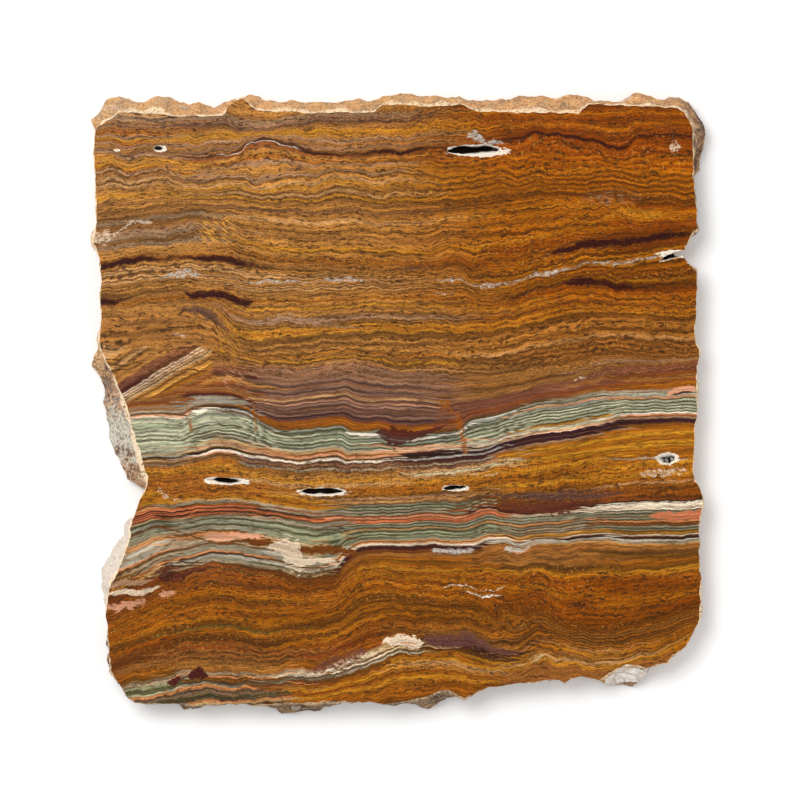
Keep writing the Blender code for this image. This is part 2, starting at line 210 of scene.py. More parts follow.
columns = [
    [{"x": 0, "at": 150, "bands":
        "85 tan 112 mauveGrey 115 tan 118 brownGrey 121 mauveGrey 124 brown 126 mauve"},
     {"x": 190, "at": 300, "bands":
        "85 brown 108 caramel 113 brown 116 brownGrey 119 mauve 121 mauveDark"},
     {"x": 430, "at": 560, "bands":
        "85 amber 106 amber 108 umberGold 110 darkAmber 112 amber"}],
    [{"x": 0, "at": 130, "bands":
        "126 mauve 129 brown 132 rust 135 amber 138 mauveGrey 141 gold 144 rustAmber 147 mauve "
        "150 caramel 153 brown 156 mauve 158 mauveGrey"},
     {"x": 180, "at": 300, "blend": 60, "bands":
        "121 mauve 123 mauveDark 126 brown 129 caramel 131 gold 133 gold 136 caramel 139 mauveGrey "
        "142 caramelBrown 145 mauve 148 brown 150 wine"},
     {"x": 470, "at": 560, "blend": 60, "bands":
        "112 amber 114 gold 116 amber 119 darkAmber 121 amber 124 gold 126 amber 129 darkAmber "
        "132 rustAmber 135 wine"}],
    [{"x": 0, "at": 130, "bands":
        "158 mauveGrey 161 caramel 164 gold 166 caramel 169 gold 171 amber 173 brown 175 mauveGrey "
        "177 umber 180 brown"},
     {"x": 190, "at": 300, "blend": 60, "bands":
        "150 wine 153 rust 157 caramel 161 amber 165 mauveGrey 168 caramel 172 caramel 175 mauveGrey "
        "178 umber"},
     {"x": 420, "at": 560, "blend": 60, "bands":
        "135 wine 138 rustAmber 144 amber 150 amber 154 darkAmber 157 gold 160 amber 164 gold 167 amber "
        "170 gold 173 gold 176 umberGold"}],
    [{"x": 0, "at": 130, "bands":
        "180 brown 183 tan 186 umber 188 tan 190 brown 194 caramel 197 gold 200 caramel 204 brown "
        "207 caramel 210 umber"},
     {"x": 180, "at": 300, "blend": 60, "bands":
        "178 umber 180 caramel 184 tan 187 gold 190 caramel 193 umber 195 tan 198 umber 200 gold "
        "202 umber 205 brown 208 caramel 211 umber"},
     {"x": 430, "at": 560, "blend": 60, "bands":
        "176 umberGold 178 gold 180 umberGold 182 gold 184 umber 186 gold 188 umberGold 190 gold "
        "192 umber 194 umberGold 196 brown"}],
    [{"x": 0, "at": 130, "bands":
        "210 umber 214 brown 217 umber 221 brownGrey 224 umber 228 brown 232 mauveGrey 236 brownGrey "
        "240 umber 244 brownGrey 248 caramel 253 caramel 258 amber"},
     {"x": 225, "at": 300, "blend": 50, "bands":
        "211 mauveDark 214 brown 218 caramel 222 tan 225 caramel 229 caramel 231 umber 233 caramel "
        "238 brown 242 caramel 246 caramel 248 gold 249 gold 251 umberGold 254 caramel 260 darkAmber "
        "268 brown 272 umber"},
     {"x": 500, "at": 560, "blend": 80, "bands":
        "196 brown 199 caramel 203 caramel 206 tan 207 umber 210 caramel 214 caramel 218 brown "
        "222 caramel 224 gold 227 umber 231 gold 234 caramel 240 darkAmber 250 brown 256 caramel "
        "261 umber"},
     {"x": 620, "at": 650, "blend": 60, "bands":
        "202 umberGold 206 amber 210 gold 214 gold 218 gold 222 amber 228 darkAmber 236 umberGold "
        "244 darkAmber 250 umber"}],
    [{"x": 0, "at": 130, "bands":
        "258 amber 262 brown 265 caramel 267 umber 269 tan 270 umber 272 tan 274 umber 276 brown 277 tan"},
     {"x": 240, "at": 300, "blend": 60, "bands":
        "271 umber 272 caramel 273 umber 275 caramel 276 tan 277 umber 279 tan 280 umber 282 caramel "
        "283 mauveGrey"},
     {"x": 480, "at": 560, "blend": 60, "bands":
        "262 umber 263 tan 265 caramel 266 umber 267 tan 269 brown 270 mauveGrey"}],
    [{"x": 0, "at": 130, "bands":
        "277 tan 279 umber 281 tan 283 brown 285 umber 287 caramel 289 umber 291 caramel 293 umber "
        "296 umber"},
     {"x": 210, "at": 300, "blend": 60, "bands":
        "283 mauveGrey 285 caramel 287 umber 288 tan 289 umber 291 tan 293 umber 294 caramel 297 brown "
        "300 caramel 303 amber"},
     {"x": 520, "at": 560, "blend": 50, "bands":
        "270 mauveGrey 272 tan 273 umber 275 caramel 277 umber 278 brown 280 umber 281 mauveGrey "
        "283 umber 285 umber"}],
    [{"x": 0, "at": 130, "bands":
        "296 umber 300 brown 303 amber 307 brown 311 caramel 315 brown"},
     {"x": 230, "at": 300, "blend": 40, "bands":
        "303 amber 306 caramel 308 umber 310 gold 313 brown 316 caramel 318 umber 320 mauve 323 mauveGrey "
        "325 umber 327 brown 328 umber 330 gold 333 amber 335 gold 338 umber 342 umber"},
     {"x": 480, "at": 560, "blend": 70, "bands":
        "285 umber 287 darkAmber 291 amber 296 gold 299 darkAmber 301 gold 304 amber 306 umber 308 amber "
        "311 gold 314 amber 316 gold 318 umber 320 umberGold"}],
    [{"x": 0, "at": 130, "bands":
        "315 brown 318 caramelBrown 322 brown 325 brown 329 caramelBrown 333 umber 337 caramelBrown "
        "341 brown 345 caramelBrown 350 brown 355 caramelBrown 361 brown 368 brown"},
     {"x": 235, "at": 380, "blend": 20, "bands":
        "338 umber 340 caramel 342 brown 344 umber 346 brown 349 caramel 351 umber 353 amber 355 brown "
        "357 umber 359 gold 361 umber 363 brown 366 mauveGrey"},
     {"x": 450, "at": 560, "blend": 60, "bands":
        "320 umberGold 323 brown 327 caramel 331 caramel 335 umber 338 caramel 342 tan 345 umber "
        "348 brown 351 umber 353 brown 356 umber 358 brown"}],
    [{"x": 0, "at": 130, "bands":
        "368 brown 374 plumBrown 380 wine 385 caramel 390 rust 399 brown"},
     {"x": 252, "at": 300, "blend": 30, "bands":
        "367 caramel 369 purpleBrown 372 mauve 375 purpleBrown 378 mauve 380 purpleBrown 383 mauve "
        "386 mauveDark 388 purpleBrown 391 mauve 393 mauveDark 395 mauve 397 purpleBrown 400 tan"},
     {"x": 455, "at": 530, "blend": 60, "bands":
        "363 brown 366 umber 369 caramelBrown 373 brown 377 caramelBrown 380 umber 383 brown 386 brown "
        "389 plumBrown"},
     {"x": 590, "at": 650, "blend": 50, "bands":
        "354 brown 356 umber 358 brown 361 mauveGrey 363 brown 366 plumBrown"}],
    [{"x": 0, "at": 150, "bands":
        "396 rust 400 brown 404 rust 406 brown 408 mauveGrey 410 brown 412 greySand 414 umber 416 peach "
        "417 cream"},
     {"x": 186, "at": 220, "blend": 6, "bands":
        "391 rust 395 wine 398 greySand 401 sageGrey 403 greySand 405 umber 407 black"},
     {"x": 252, "at": 300, "blend": 14, "bands":
        "400 tan 401 mauveDark 403 purpleBrown 404 peach 405 mauveDark 407 mauve 409 mauveDark "
        "411 purpleBrown 413 mauveDark 415 mauve 417 plum 419 mauveDark 421 rust 423 amber 426 rustAmber "
        "429 umberGold 431 sageGrey"},
     {"x": 448, "at": 480, "blend": 12, "bands":
        "401 plumBrown 408 plumBrown 412 rust 415 plumBrown 418 umber 420 olive"},
     {"x": 560, "at": 600, "blend": 40, "bands":
        "374 plumBrown 379 brown 383 plumBrown 387 rust 390 caramelBrown 393 greySand"},
     {"x": 620, "at": 650, "blend": 40, "bands":
        "367 plumBrown 371 plumBrown 375 rust 379 caramelBrown 382 rust 385 amber 388 rustAmber "
        "392 greySand"}],
    [{"x": 0, "at": 150, "bands":
        "417 cream 419 sage 422 ivorySage 425 sage 428 sage 430 ivorySage 432 sageGrey 434 ivorySage "
        "436 sageDark 438 ivorySage 440 sageDark 442 ivorySage 444 sage 446 ivorySage 448 sage "
        "450 ivorySage 452 greySage 454 sand 456 sageGrey 457 black"},
     {"x": 190, "at": 220, "blend": 6, "bands":
        "407 black 409 greyWhite 411 umber 413 sageGrey 416 sage 418 ivorySage 421 sage 423 ivorySage "
        "425 olive 427 sage 429 ivorySage 431 olive 433 ivorySage 434 olive 436 greySand 438 olive "
        "440 sand 443 tan 445 peach 446 sand 448 umber 449 black"},
     {"x": 256, "at": 300, "blend": 6, "bands":
        "431 sageGrey 433 olive 435 sageDark 437 ivorySage 438 olive 440 sage 442 sageDark 443 ivorySage "
        "445 olive 447 sage 449 olive 450 sageGrey 452 sand 454 tan 456 rust 457 orangePeach 459 peach "
        "460 umber 461 black"},
     {"x": 378, "at": 430, "blend": 30, "bands":
        "436 olive 438 ivory 440 olive 442 sageGrey 444 olive 446 peach 448 sand 450 peach 452 plum "
        "455 black"},
     {"x": 462, "at": 480, "blend": 6, "bands":
        "419 olive 420 greyWhite 422 sageGrey 424 olive 425 greySage 427 olive 429 ivorySage 431 olive "
        "433 sage 435 sageDark 437 ivorySage 439 olive 441 ivorySage 443 greySand 445 cream 447 umber "
        "449 greyWhite 450 plum"},
     {"x": 515, "at": 560, "blend": 24, "bands":
        "400 olive 401 greySand 403 olive 404 greySand 405 orangePeach 407 sageGrey 409 greySage "
        "410 olive 411 ivorySage 413 olive 414 ivorySage 416 olive 417 ivorySage 419 olive 421 sage "
        "423 umber 424 gold 426 sand 428 ivorySage 430 sand 431 orangePeach 432 cream 433 plum"},
     {"x": 615, "at": 650, "blend": 24, "bands":
        "392 olive 393 greySand 395 sageGrey 396 greySand 398 orangePeach 399 olive 401 ivorySage "
        "403 olive 404 ivorySage 406 olive 407 ivorySage 409 olive 410 ivorySage 412 olive 413 ivory "
        "415 orangePeach 416 rust 418 mauveGrey"}],
    [{"x": 0, "at": 150, "bands":
        "457 black 459 umber 461 sand 462 umber 465 brownGrey 468 amber 472 gold 476 amber 481 amber"},
     {"x": 186, "at": 220, "blend": 20, "bands":
        "449 black 451 ivory 453 peach 455 umber 458 brown 462 amber 467 gold 472 amber 479 amber"},
     {"x": 240, "at": 300, "blend": 30, "bands":
        "461 black 462 cream 463 ivory 465 plum 467 mauve 469 plum 471 greySand 473 umber 475 brown "
        "478 caramel 482 gold 486 tan 490 amber"},
     {"x": 404, "at": 430, "blend": 8, "bands":
        "455 black 457 plum 459 greyWhite 460 plum 463 plum 465 greySand 466 plum 468 mauve 470 tan "
        "473 ivorySage 476 tan 480 gold 486 amber"},
     {"x": 500, "at": 560, "blend": 40, "bands":
        "433 plum 436 plum 437 mauveDark 438 plum 440 plum 441 mauveGrey 443 brown 445 amber 448 gold "
        "452 amber 457 gold 461 amber 466 gold 472 amber"},
     {"x": 612, "at": 650, "blend": 16, "bands":
        "418 mauveGrey 420 plum 423 plum 424 umber 426 darkAmber 430 amber 434 gold 438 amber 445 gold "
        "450 amber 459 amber"}],
    [{"x": 0, "at": 150, "bands":
        "481 amber 486 rustAmber 491 amber 496 gold 500 amber 504 gold 507 rust 509 tan 511 coral "
        "513 black"},
     {"x": 170, "at": 220, "blend": 40, "bands":
        "479 rustAmber 484 amber 489 rustAmber 494 amber 497 gold 499 tan 501 sageGrey 503 umber 504 rust "
        "506 coral 507 black"},
     {"x": 255, "at": 300, "blend": 40, "bands":
        "490 amber 495 caramel 500 gold 504 amber 508 gold 510 greySand 512 rust 514 greySand 516 plum "
        "517 umber"},
     {"x": 330, "at": 430, "blend": 50, "bands":
        "486 amber 491 amber 494 umberGold 496 mauveGrey 498 brown 500 tan 502 umber 503 greySage "
        "505 olive 506 sage 508 olive 509 greySand 511 olive 512 greySand 514 umber 515 coral 516 peach"},
     {"x": 478, "at": 560, "blend": 24, "bands":
        "472 amber 476 darkAmber 481 gold 485 amber 489 umberGold 492 mauveDark 496 rustBrown "
        "500 rustBrown 504 rust 508 wine 511 wine"},
     {"x": 600, "at": 650, "blend": 60, "bands":
        "459 amber 464 gold 469 amber 474 gold 480 amber 483 tan 485 darkAmber 489 rustBrown "
        "494 rustAmber 498 rustBrown 500 rust 502 black 503 ivory 505 ivory"}],
    [{"x": 0, "at": 150, "bands":
        "513 black 514 coral 515 wine 516 coral 517 black 518 coral 520 wine 521 sand 523 olive "
        "526 sageGrey 529 umber 532 greySand 534 sage 537 greySand 539 sand 541 orangePeach 543 tan "
        "546 greyWhite 550 greySand 554 greyWhite 557 orangePeach 559 umber 562 greySand 564 umber "
        "566 greySand 569 rust 572 sand 575 wine 578 wine 582 rust 588 rust"},
     {"x": 176, "at": 220, "blend": 16, "bands":
        "507 black 509 coral 511 black 513 coral 514 umber 516 greySand 518 olive 520 sageGrey "
        "522 greySage 524 olive 526 greySand 528 sageGrey 530 umber 533 orangePeach 537 sand 541 greySand "
        "543 umber 545 greySand 547 greySage 549 greySand 551 orangePeach 553 black 555 greyWhite "
        "558 greySage 561 greySand 563 umber 565 rust"},
     {"x": 262, "at": 300, "blend": 30, "bands":
        "517 umber 519 coral 521 umber 523 sageGrey 526 greySand 528 olive 531 sage 534 sageDark 537 sage "
        "541 sage 544 sand 547 umber 550 rustBrown 554 sand 558 greyWhite 562 sageGrey 565 umber "
        "568 greyWhite 571 olive 573 greySand 576 umber 579 rust"},
     {"x": 338, "at": 430, "blend": 12, "bands":
        "515 coral 516 peach 517 umber 518 coral 520 coral 521 umber 522 greySand 523 olive 525 sageGrey "
        "526 olive 528 tan 529 sageDark 530 olive 532 sage 534 olive 535 sage 537 sageDark 538 sageGrey "
        "540 tan 541 umber 542 orangePeach 544 ivory 546 wine 549 plum 551 rust"},
     {"x": 500, "at": 560, "blend": 6, "bands":
        "511 wine 512 cream 514 greySand 515 olive 516 sageGrey 518 sageDark 519 greySand 521 olive "
        "522 orangePeach 524 umber 525 greySage 527 umber 528 greySand 530 umber 531 greySage 532 umber "
        "533 tan 535 gold 536 umber 537 tan 538 umber 540 greyWhite 542 greySand 544 caramel"},
     {"x": 584, "at": 650, "blend": 30, "bands":
        "505 ivory 507 ivory 508 cream 510 ivory 511 olive 513 greySand 514 olive 516 greySage 517 umber "
        "519 greySage 520 olive 522 orangePeach 523 umber 525 rust 526 olive 527 greySand 529 olive "
        "530 greySage 531 umber 533 gold 534 umber 535 cream 537 wine 539 black 540 greyWhite "
        "542 greySand 543 brown"}],
    [{"x": 0, "at": 150, "bands":
        "588 rust 592 brown 597 rust 602 caramelBrown 608 amber 615 gold 622 amber 630 gold 638 umberGold"},
     {"x": 180, "at": 220, "blend": 40, "bands":
        "565 rust 568 umber 571 rust 576 amber 581 plumBrown 585 amber 592 gold 597 umberGold 601 amber "
        "606 gold 611 amber 617 gold 624 umberGold"},
     {"x": 330, "at": 430, "blend": 40, "bands":
        "551 rustBrown 555 caramelBrown 559 amber 562 umberGold 566 amber 571 gold 574 amber 579 gold "
        "583 amber 588 gold 592 amber 596 gold 599 umberGold 602 umber"},
     {"x": 485, "at": 560, "blend": 30, "bands":
        "544 caramel 549 orangeBrown 555 caramelBrown 560 brown 564 caramelBrown 568 umber 571 umberGold "
        "574 gold 579 amber 586 amber 593 gold 600 amber 610 amber 622 umberGold"},
     {"x": 600, "at": 650, "blend": 60, "bands":
        "543 greySand 545 caramel 549 caramelBrown 553 umber 557 umberGold 562 amber 567 umberGold "
        "572 gold 578 amber 590 amber 600 gold 610 amber 620 umberGold"}],
    [{"x": 0, "at": 150, "bands":
        "638 umberGold 643 amber 650 rustBrown 658 rustBrown 665 brown 672 amber 678 umberGold "
        "684 greySand"},
     {"x": 170, "at": 220, "blend": 40, "bands":
        "624 umber 627 sageDark 630 gold 634 brown 638 umber 641 umber 644 orangeBrown 647 brown 649 rust "
        "652 orangeBrown 654 umber 657 orangeBrown 659 umber 662 brown 667 caramel 671 caramelBrown "
        "674 greySand 677 orangePeach"},
     {"x": 290, "at": 350, "blend": 50, "bands":
        "608 umber 612 umberGold 617 gold 622 umberGold 628 gold 633 amber 638 orangeBrown 644 rust "
        "650 amber 655 amber 661 ivory"},
     {"x": 400, "at": 430, "blend": 50, "bands":
        "603 umberGold 606 umber 609 gold 612 umber 615 gold 618 umberGold 622 brown 627 caramel "
        "631 mauve 634 mauve 640 plum"},
     {"x": 500, "at": 560, "blend": 50, "bands":
        "622 umberGold 624 brown 625 umber 627 caramel 628 umber 629 mauveGrey 631 umber 632 caramel "
        "634 umber 635 mauve 636 umber 638 caramel 640 umberGold"}],
    [{"x": 0, "at": 150, "bands":
        "684 greySand 687 sage 690 olive 693 sageDark 695 ivorySage 697 peach"},
     {"x": 184, "at": 220, "blend": 14, "bands":
        "677 orangePeach 678 umber 680 umberGold 683 greyBrown 685 sageGrey 686 orangePeach 687 peach"},
     {"x": 262, "at": 300, "blend": 30, "bands":
        "673 ivory 675 greyWhite 677 umber 679 sageGrey 680 umber 682 rust"},
     {"x": 330, "at": 380, "blend": 14, "bands":
        "650 ivory 652 cream 654 umber 656 ivory 658 umber 660 greyWhite 662 umberGold"},
     {"x": 424, "at": 450, "blend": 6, "bands":
        "638 plum 643 plum 648 umber 650 gold 653 amber"},
     {"x": 520, "at": 560, "blend": 40, "bands":
        "638 umber 640 caramel 642 caramelBrown 644 tan 646 caramelBrown 649 gold 652 caramelBrown "
        "655 caramel 657 umberGold 658 tan 660 tan"}],
    [{"x": 0, "at": 220, "bands":
        "687 orangePeach 690 greyBrown 693 brownGrey 696 olive 699 greyBrown 701 orangePeach 703 sand "
        "706 umber 723 umber"},
     {"x": 285, "at": 350, "blend": 30, "bands":
        "676 umber 680 amber 684 gold 688 rustAmber 692 gold 697 amber 703 darkAmber 713 umber"},
     {"x": 400, "at": 430, "blend": 40, "bands":
        "655 amber 659 gold 663 tan 667 caramel 672 amber 677 gold 682 darkAmber 690 amber 705 umberGold"},
     {"x": 500, "at": 560, "blend": 40, "bands":
        "660 tan 663 gold 667 orangeBrown 673 caramelBrown 679 orangeBrown 695 caramelBrown"}],
]

# Lens-shaped streaks: places along the middle line, each with half the streak's thickness there, in pixels.
# "ragged" frays the edge, "soft" is the width of the edge, "wide" thickens the whole, and "patchy" wears it.

streaks = [
    {"name": "farPlum", "colour": "plumRed", "ragged": 0.4, "soft": 3.2, "wide": 1.25, "points": [
        (95, 267, 4.5), (112, 265, 4), (125, 262, 4.5), (140, 258.5, 4.5), (155, 258.5, 3),
        (165, 258, 2.4), (185, 256, 2.4), (200, 256.5, 3.5), (215, 259, 4), (235, 262.5, 4),
        (250, 264, 2.5), (262, 267, 2), (283, 271, 0.6), (290, 272, 0), (398, 267, 0), (410, 267.5, 1.8),
        (420, 268, 1.5), (431, 268, 0), (497, 301, 0), (502, 299, 1.5), (515, 296, 2), (530, 292, 2),
        (545, 287, 1.5), (560, 285, 1.5), (570, 284, 4), (585, 282, 5), (600, 283, 3), (612, 284, 4),
        (622, 286, 3.5), (635, 288, 2), (660, 284, 1), (700, 283, 0.5)]},
    {"name": "secondPlum", "colour": "plumRed", "ragged": 0.4, "soft": 3.2, "wide": 1.25, "points": [
        (95, 303, 4.5), (110, 303, 4), (122, 300, 2.5), (135, 295, 1.5), (150, 292, 1.2), (180, 292, 1),
        (190, 296, 3.5), (205, 295.5, 4.5), (225, 298, 4.5), (240, 301, 4), (252, 301, 3.5),
        (258, 300, 0), (548, 254, 0), (552, 252, 2.5), (560, 250, 3.5), (572, 249, 4), (585, 244, 5),
        (600, 242, 4.5), (620, 243, 4), (640, 240.5, 4), (660, 236, 4.5), (680, 233.5, 3), (700, 233, 2)]},
    {"name": "farWine", "colour": "plumRed", "ragged": 0.5, "soft": 1.6, "wide": 1.3, "strength": 0.85,
     "points": [
        (232, 150, 0), (245, 147, 1), (258, 141, 1.5), (272, 139.5, 1.8), (285, 143, 1.8),
        (300, 149, 2.2), (315, 152, 2), (335, 153.5, 1.5), (355, 152, 1), (375, 152, 1.5), (395, 152, 2),
        (410, 150, 2), (425, 148, 1), (432, 147, 0), (500, 141, 0), (520, 137, 1.2), (548, 133, 1.5),
        (560, 134.5, 1.8), (575, 138, 2.2), (590, 140, 1.8), (600, 142, 2), (608, 147, 2),
        (622, 148.5, 1.5), (630, 145, 1.2), (637, 137, 1.2), (650, 135, 1.2), (668, 134.5, 1.2),
        (700, 136.5, 1.2)]},
    {"name": "whiteThread", "colour": "ivory", "ragged": 0.7, "strength": 0.75, "points": [
        (212, 156, 0), (222, 154, 0.8), (240, 151, 0.7), (250, 144, 0.8), (262, 142.5, 0.8),
        (272, 141, 0.9), (283, 145, 0.8), (298, 150, 0.7), (304, 151, 0)]},
    {"name": "mauveWedge", "colour": "mauveDark", "ragged": 0.7, "soft": 2.5, "strength": 0.75,
     "points": [
        (172, 308, 0), (180, 309, 1.5), (195, 311, 5), (208, 315, 6), (218, 322, 5), (226, 330, 2),
        (232, 336, 0), (268, 166, 0), (269, 166, 0), (300, 168, 0), (500, 492, 0), (525, 495, 4),
        (560, 496, 5), (600, 494, 4), (625, 494, 1.5), (640, 495, 0)]},
    {"name": "farGreyWhite", "colour": "greyWhite", "ragged": 1.4, "soft": 2.0, "strength": 0.8,
     "patchy": 0.8, "points": [
        (155, 278, 0), (163, 277, 2), (175, 275, 4), (185, 273.5, 4.5), (195, 273, 3.5), (207, 276, 0),
        (240, 281, 0), (250, 281, 1), (262, 280.5, 2), (280, 283, 2), (300, 283, 1.5), (315, 283, 0.7),
        (330, 280, 2), (345, 278.5, 2.5), (360, 280, 1.5), (375, 282, 0), (430, 279, 0), (445, 279.5, 2),
        (455, 279, 1.5), (470, 284, 1), (480, 285, 2), (490, 286, 3), (500, 284, 2), (520, 280, 1.5),
        (545, 272.5, 3), (560, 270, 2.5), (575, 267, 1.2), (590, 264, 1.8), (605, 262.5, 2.2),
        (625, 262.5, 2), (640, 260, 2), (655, 258, 2), (668, 256, 1.5), (682, 251, 1)]},
    {"name": "hollowCloud", "colour": "greyWhite", "ragged": 1.4, "strength": 0.85, "patchy": 0.5,
     "points": [
        (463, 137, 0), (470, 136, 3), (478, 137, 4), (484, 141, 3), (498, 143, 2.5), (508, 146, 0)]},
    {"name": "leftPaleSpeckle", "colour": "cream", "ragged": 1.4, "strength": 0.7, "patchy": 1.0,
     "points": [
        (90, 238, 5), (105, 237, 6), (113, 236, 3), (120, 230, 1.0), (130, 223, 2.5), (145, 221, 2),
        (160, 222, 0), (170, 335, 0), (174, 334, 1.2), (184, 337, 1.5), (192, 337, 0)]},
    {"name": "greyDashes", "colour": "mauveGrey", "ragged": 1.4, "strength": 0.8, "patchy": 0.9,
     "points": [
        (190, 174, 0), (198, 174, 2), (218, 173, 2), (225, 172, 0), (245, 316, 0), (262, 322, 3),
        (285, 320, 3.5), (310, 322, 4), (330, 324, 3), (348, 327, 1.5), (390, 330, 0)]},
    {"name": "wineNotch", "colour": "wine", "ragged": 0.8, "strength": 0.9, "points": [
        (366, 432, 0), (376, 434, 1.5), (382, 434, 5), (390, 437, 9), (397, 439, 10), (404, 438, 8),
        (414, 436, 5), (426, 433, 3), (440, 428, 2), (452, 424, 0)]},
    {"name": "goldCrumbs", "colour": "gold", "ragged": 1.4, "strength": 0.6, "patchy": 0.9, "points": [
        (262, 249, 0), (270, 249, 1.5), (290, 249, 1), (310, 249, 1.5), (345, 248, 1.2), (390, 249, 0.5),
        (460, 250, 0.5), (475, 248, 2), (490, 247, 1), (520, 242, 1.5), (545, 235, 2), (570, 229, 1),
        (600, 220, 1), (620, 214, 4), (640, 213, 5), (660, 214, 4), (668, 213, 0)]},
    {"name": "paleTongue", "colour": "ivory", "ragged": 0.5, "points": [
        (190, 411, 0), (195, 411, 2), (205, 410, 1.5), (210, 409.5, 0), (248, 415, 0), (342, 433, 0),
        (348, 433, 1.6), (362, 434, 1.8), (376, 435, 1.5), (381, 436, 0)]},
    {"name": "pinkTongueRight", "colour": "peach", "ragged": 0.6, "points": [
        (592, 507, 0), (640, 400, 0), (666, 396, 0), (669, 394, 3), (680, 391, 3), (693, 389, 3.5),
        (697, 389, 0)]},
    {"name": "wineCoreRight", "colour": "wine", "ragged": 0.4, "points": [
        (668, 396, 0), (675, 394.5, 1.2), (688, 392.5, 1.5), (696, 392, 0)]},
    {"name": "redLensRight", "colour": "coral", "ragged": 0.8, "strength": 0.8, "points": [
        (645, 517, 0), (655, 517, 3), (670, 516.5, 4.5), (690, 515, 5), (705, 514, 5)]},
    {"name": "wineWedge", "colour": "wineBrown", "ragged": 1.0, "soft": 2.5, "strength": 0.95,
     "patchy": 0.55, "points": [
        (496, 505, 0), (503, 505, 3), (520, 507, 6), (535, 507, 7), (550, 508, 8), (566, 507, 8),
        (574, 505, 7), (585, 502, 3), (600, 501, 1.5), (640, 500, 0)]},
    {"name": "peachBlob", "colour": "peach", "ragged": 0.7, "points": [
        (203, 536, 0), (207, 536, 3.5), (225, 537, 4.5), (240, 536, 3.5), (262, 536, 2), (268, 537, 0)]},
    {"name": "paleBlob", "colour": "cream", "ragged": 1.2, "strength": 0.88, "patchy": 0.2, "points": [
        (266, 548, 0), (271, 547, 4), (280, 548, 7), (290, 552, 13), (300, 558, 12), (304, 562, 4),
        (310, 560, 3), (330, 560, 3), (338, 562, 0)]},
    {"name": "rustTongue", "colour": "rustBrown", "ragged": 1.2, "points": [
        (148, 524, 0), (156, 526, 0.9), (172, 530, 1.2), (188, 534, 1.2), (203, 540, 1.1),
        (225, 542, 1.5), (246, 541, 2), (252, 542, 4), (266, 542, 4), (272, 541, 1), (296, 549, 0),
        (304, 550, 3), (320, 549, 4), (340, 551, 4), (352, 553, 4), (362, 553, 0)]},
    {"name": "paleLens", "colour": "greyWhite", "ragged": 0.9, "soft": 1.6, "strength": 0.9,
     "patchy": 0.45, "points": [
        (430, 551, 0), (434, 551.5, 3), (450, 551.5, 3), (472, 551, 2.5), (477, 549, 0), (502, 552, 0),
        (508, 549, 3.5), (522, 550, 3), (530, 546, 1.5), (545, 543, 1), (556, 543, 0)]},
    {"name": "nearPlum", "colour": "plumGrey", "ragged": 0.5, "soft": 3.0, "strength": 0.9,
     "patchy": 0.25, "points": [
        (422, 641, 0), (424, 641, 5), (435, 640, 7), (450, 640, 8), (465, 639, 8), (478, 643, 7),
        (490, 649, 5), (505, 653, 3.5), (520, 652, 2), (530, 646, 1.5), (545, 639, 1.5), (560, 644, 1),
        (570, 647, 0)]},
    {"name": "nearPlumPatch", "colour": "plumBrown", "ragged": 1.2, "patchy": 0.7, "points": [
        (300, 672, 0), (310, 670, 2), (322, 667, 5), (335, 663, 6), (350, 657, 6.5), (362, 652, 5),
        (368, 650, 1), (375, 646, 1), (383, 643, 2), (388, 642, 0)]},
    {"name": "nearPlumSpots", "colour": "wine", "ragged": 0.9, "points": [
        (166, 683, 0), (170, 682, 3), (176, 680, 4), (182, 678, 1), (188, 676, 1), (192, 675, 5),
        (199, 672, 6), (205, 675, 4), (209, 676, 0)]},
    {"name": "nearPinkTip", "colour": "cream", "ragged": 0.8, "points": [
        (380, 644, 0), (386, 641, 4), (400, 641, 6), (412, 641, 6), (420, 643, 4), (424, 644, 0)]},
    {"name": "nearPinkCore", "colour": "orangePeach", "ragged": 0.4, "points": [
        (398, 645, 0), (404, 643.5, 1.2), (414, 643, 1.3), (418, 643, 0)]},
    {"name": "leftIvoryTongue", "colour": "cream", "ragged": 0.6, "strength": 0.9, "points": [
        (106, 593, 1), (118, 592, 3), (135, 592, 3), (150, 590, 2.5), (158, 588, 2), (161, 587, 0)]},
    {"name": "leftPinkTongue", "colour": "peach", "ragged": 1.3, "strength": 0.75, "points": [
        (106, 607, 3), (122, 606, 4), (132, 604, 4), (143, 601, 3), (148, 600, 0), (156, 596, 0),
        (162, 595, 3), (172, 593, 3), (177, 592, 0)]},
    {"name": "leftPinkEdge", "colour": "mauveGrey", "ragged": 1.0, "strength": 0.8, "points": [
        (106, 585, 3), (120, 583, 3), (135, 582, 3), (148, 580, 2), (158, 578, 0)]},
    {"name": "wineTongueLeft", "colour": "wine", "ragged": 1.0, "strength": 0.8, "points": [
        (156, 578, 0), (162, 577, 4), (170, 578, 6), (178, 577, 4), (192, 572, 3), (205, 568, 2),
        (215, 566, 0)]},
    {"name": "darkDashes", "colour": "black", "ragged": 1.2, "strength": 0.8, "patchy": 0.7, "points": [
        (205, 411, 0), (212, 409, 1), (236, 409, 1), (242, 410, 0), (476, 246, 0), (484, 244, 1),
        (496, 243, 0), (564, 604, 0), (570, 605, 2), (584, 607, 3), (588, 606, 0), (652, 157, 0),
        (658, 157, 1), (672, 158, 1.4), (690, 156, 1), (694, 156, 0)]},
    {"name": "paleDashes", "colour": "cream", "ragged": 1.4, "strength": 0.65, "patchy": 1.0, "points": [
        (156, 492, 0), (159, 491, 3), (164, 496, 3), (172, 498, 0.5), (177, 499, 2), (181, 500, 0),
        (428, 291, 0), (436, 291, 0.9), (448, 292, 0.9), (457, 291, 0), (468, 476, 0), (476, 476, 1.2),
        (496, 474, 1), (502, 473, 0), (573, 380, 0), (577, 379, 2), (583, 378, 2), (587, 378, 0),
        (636, 474, 0), (646, 474, 3.5), (664, 472, 4), (682, 470, 3), (692, 469, 0)]},
    {"name": "mauveLenses", "colour": "mauveDark", "ragged": 1.2, "soft": 2.0, "strength": 0.6,
     "points": [
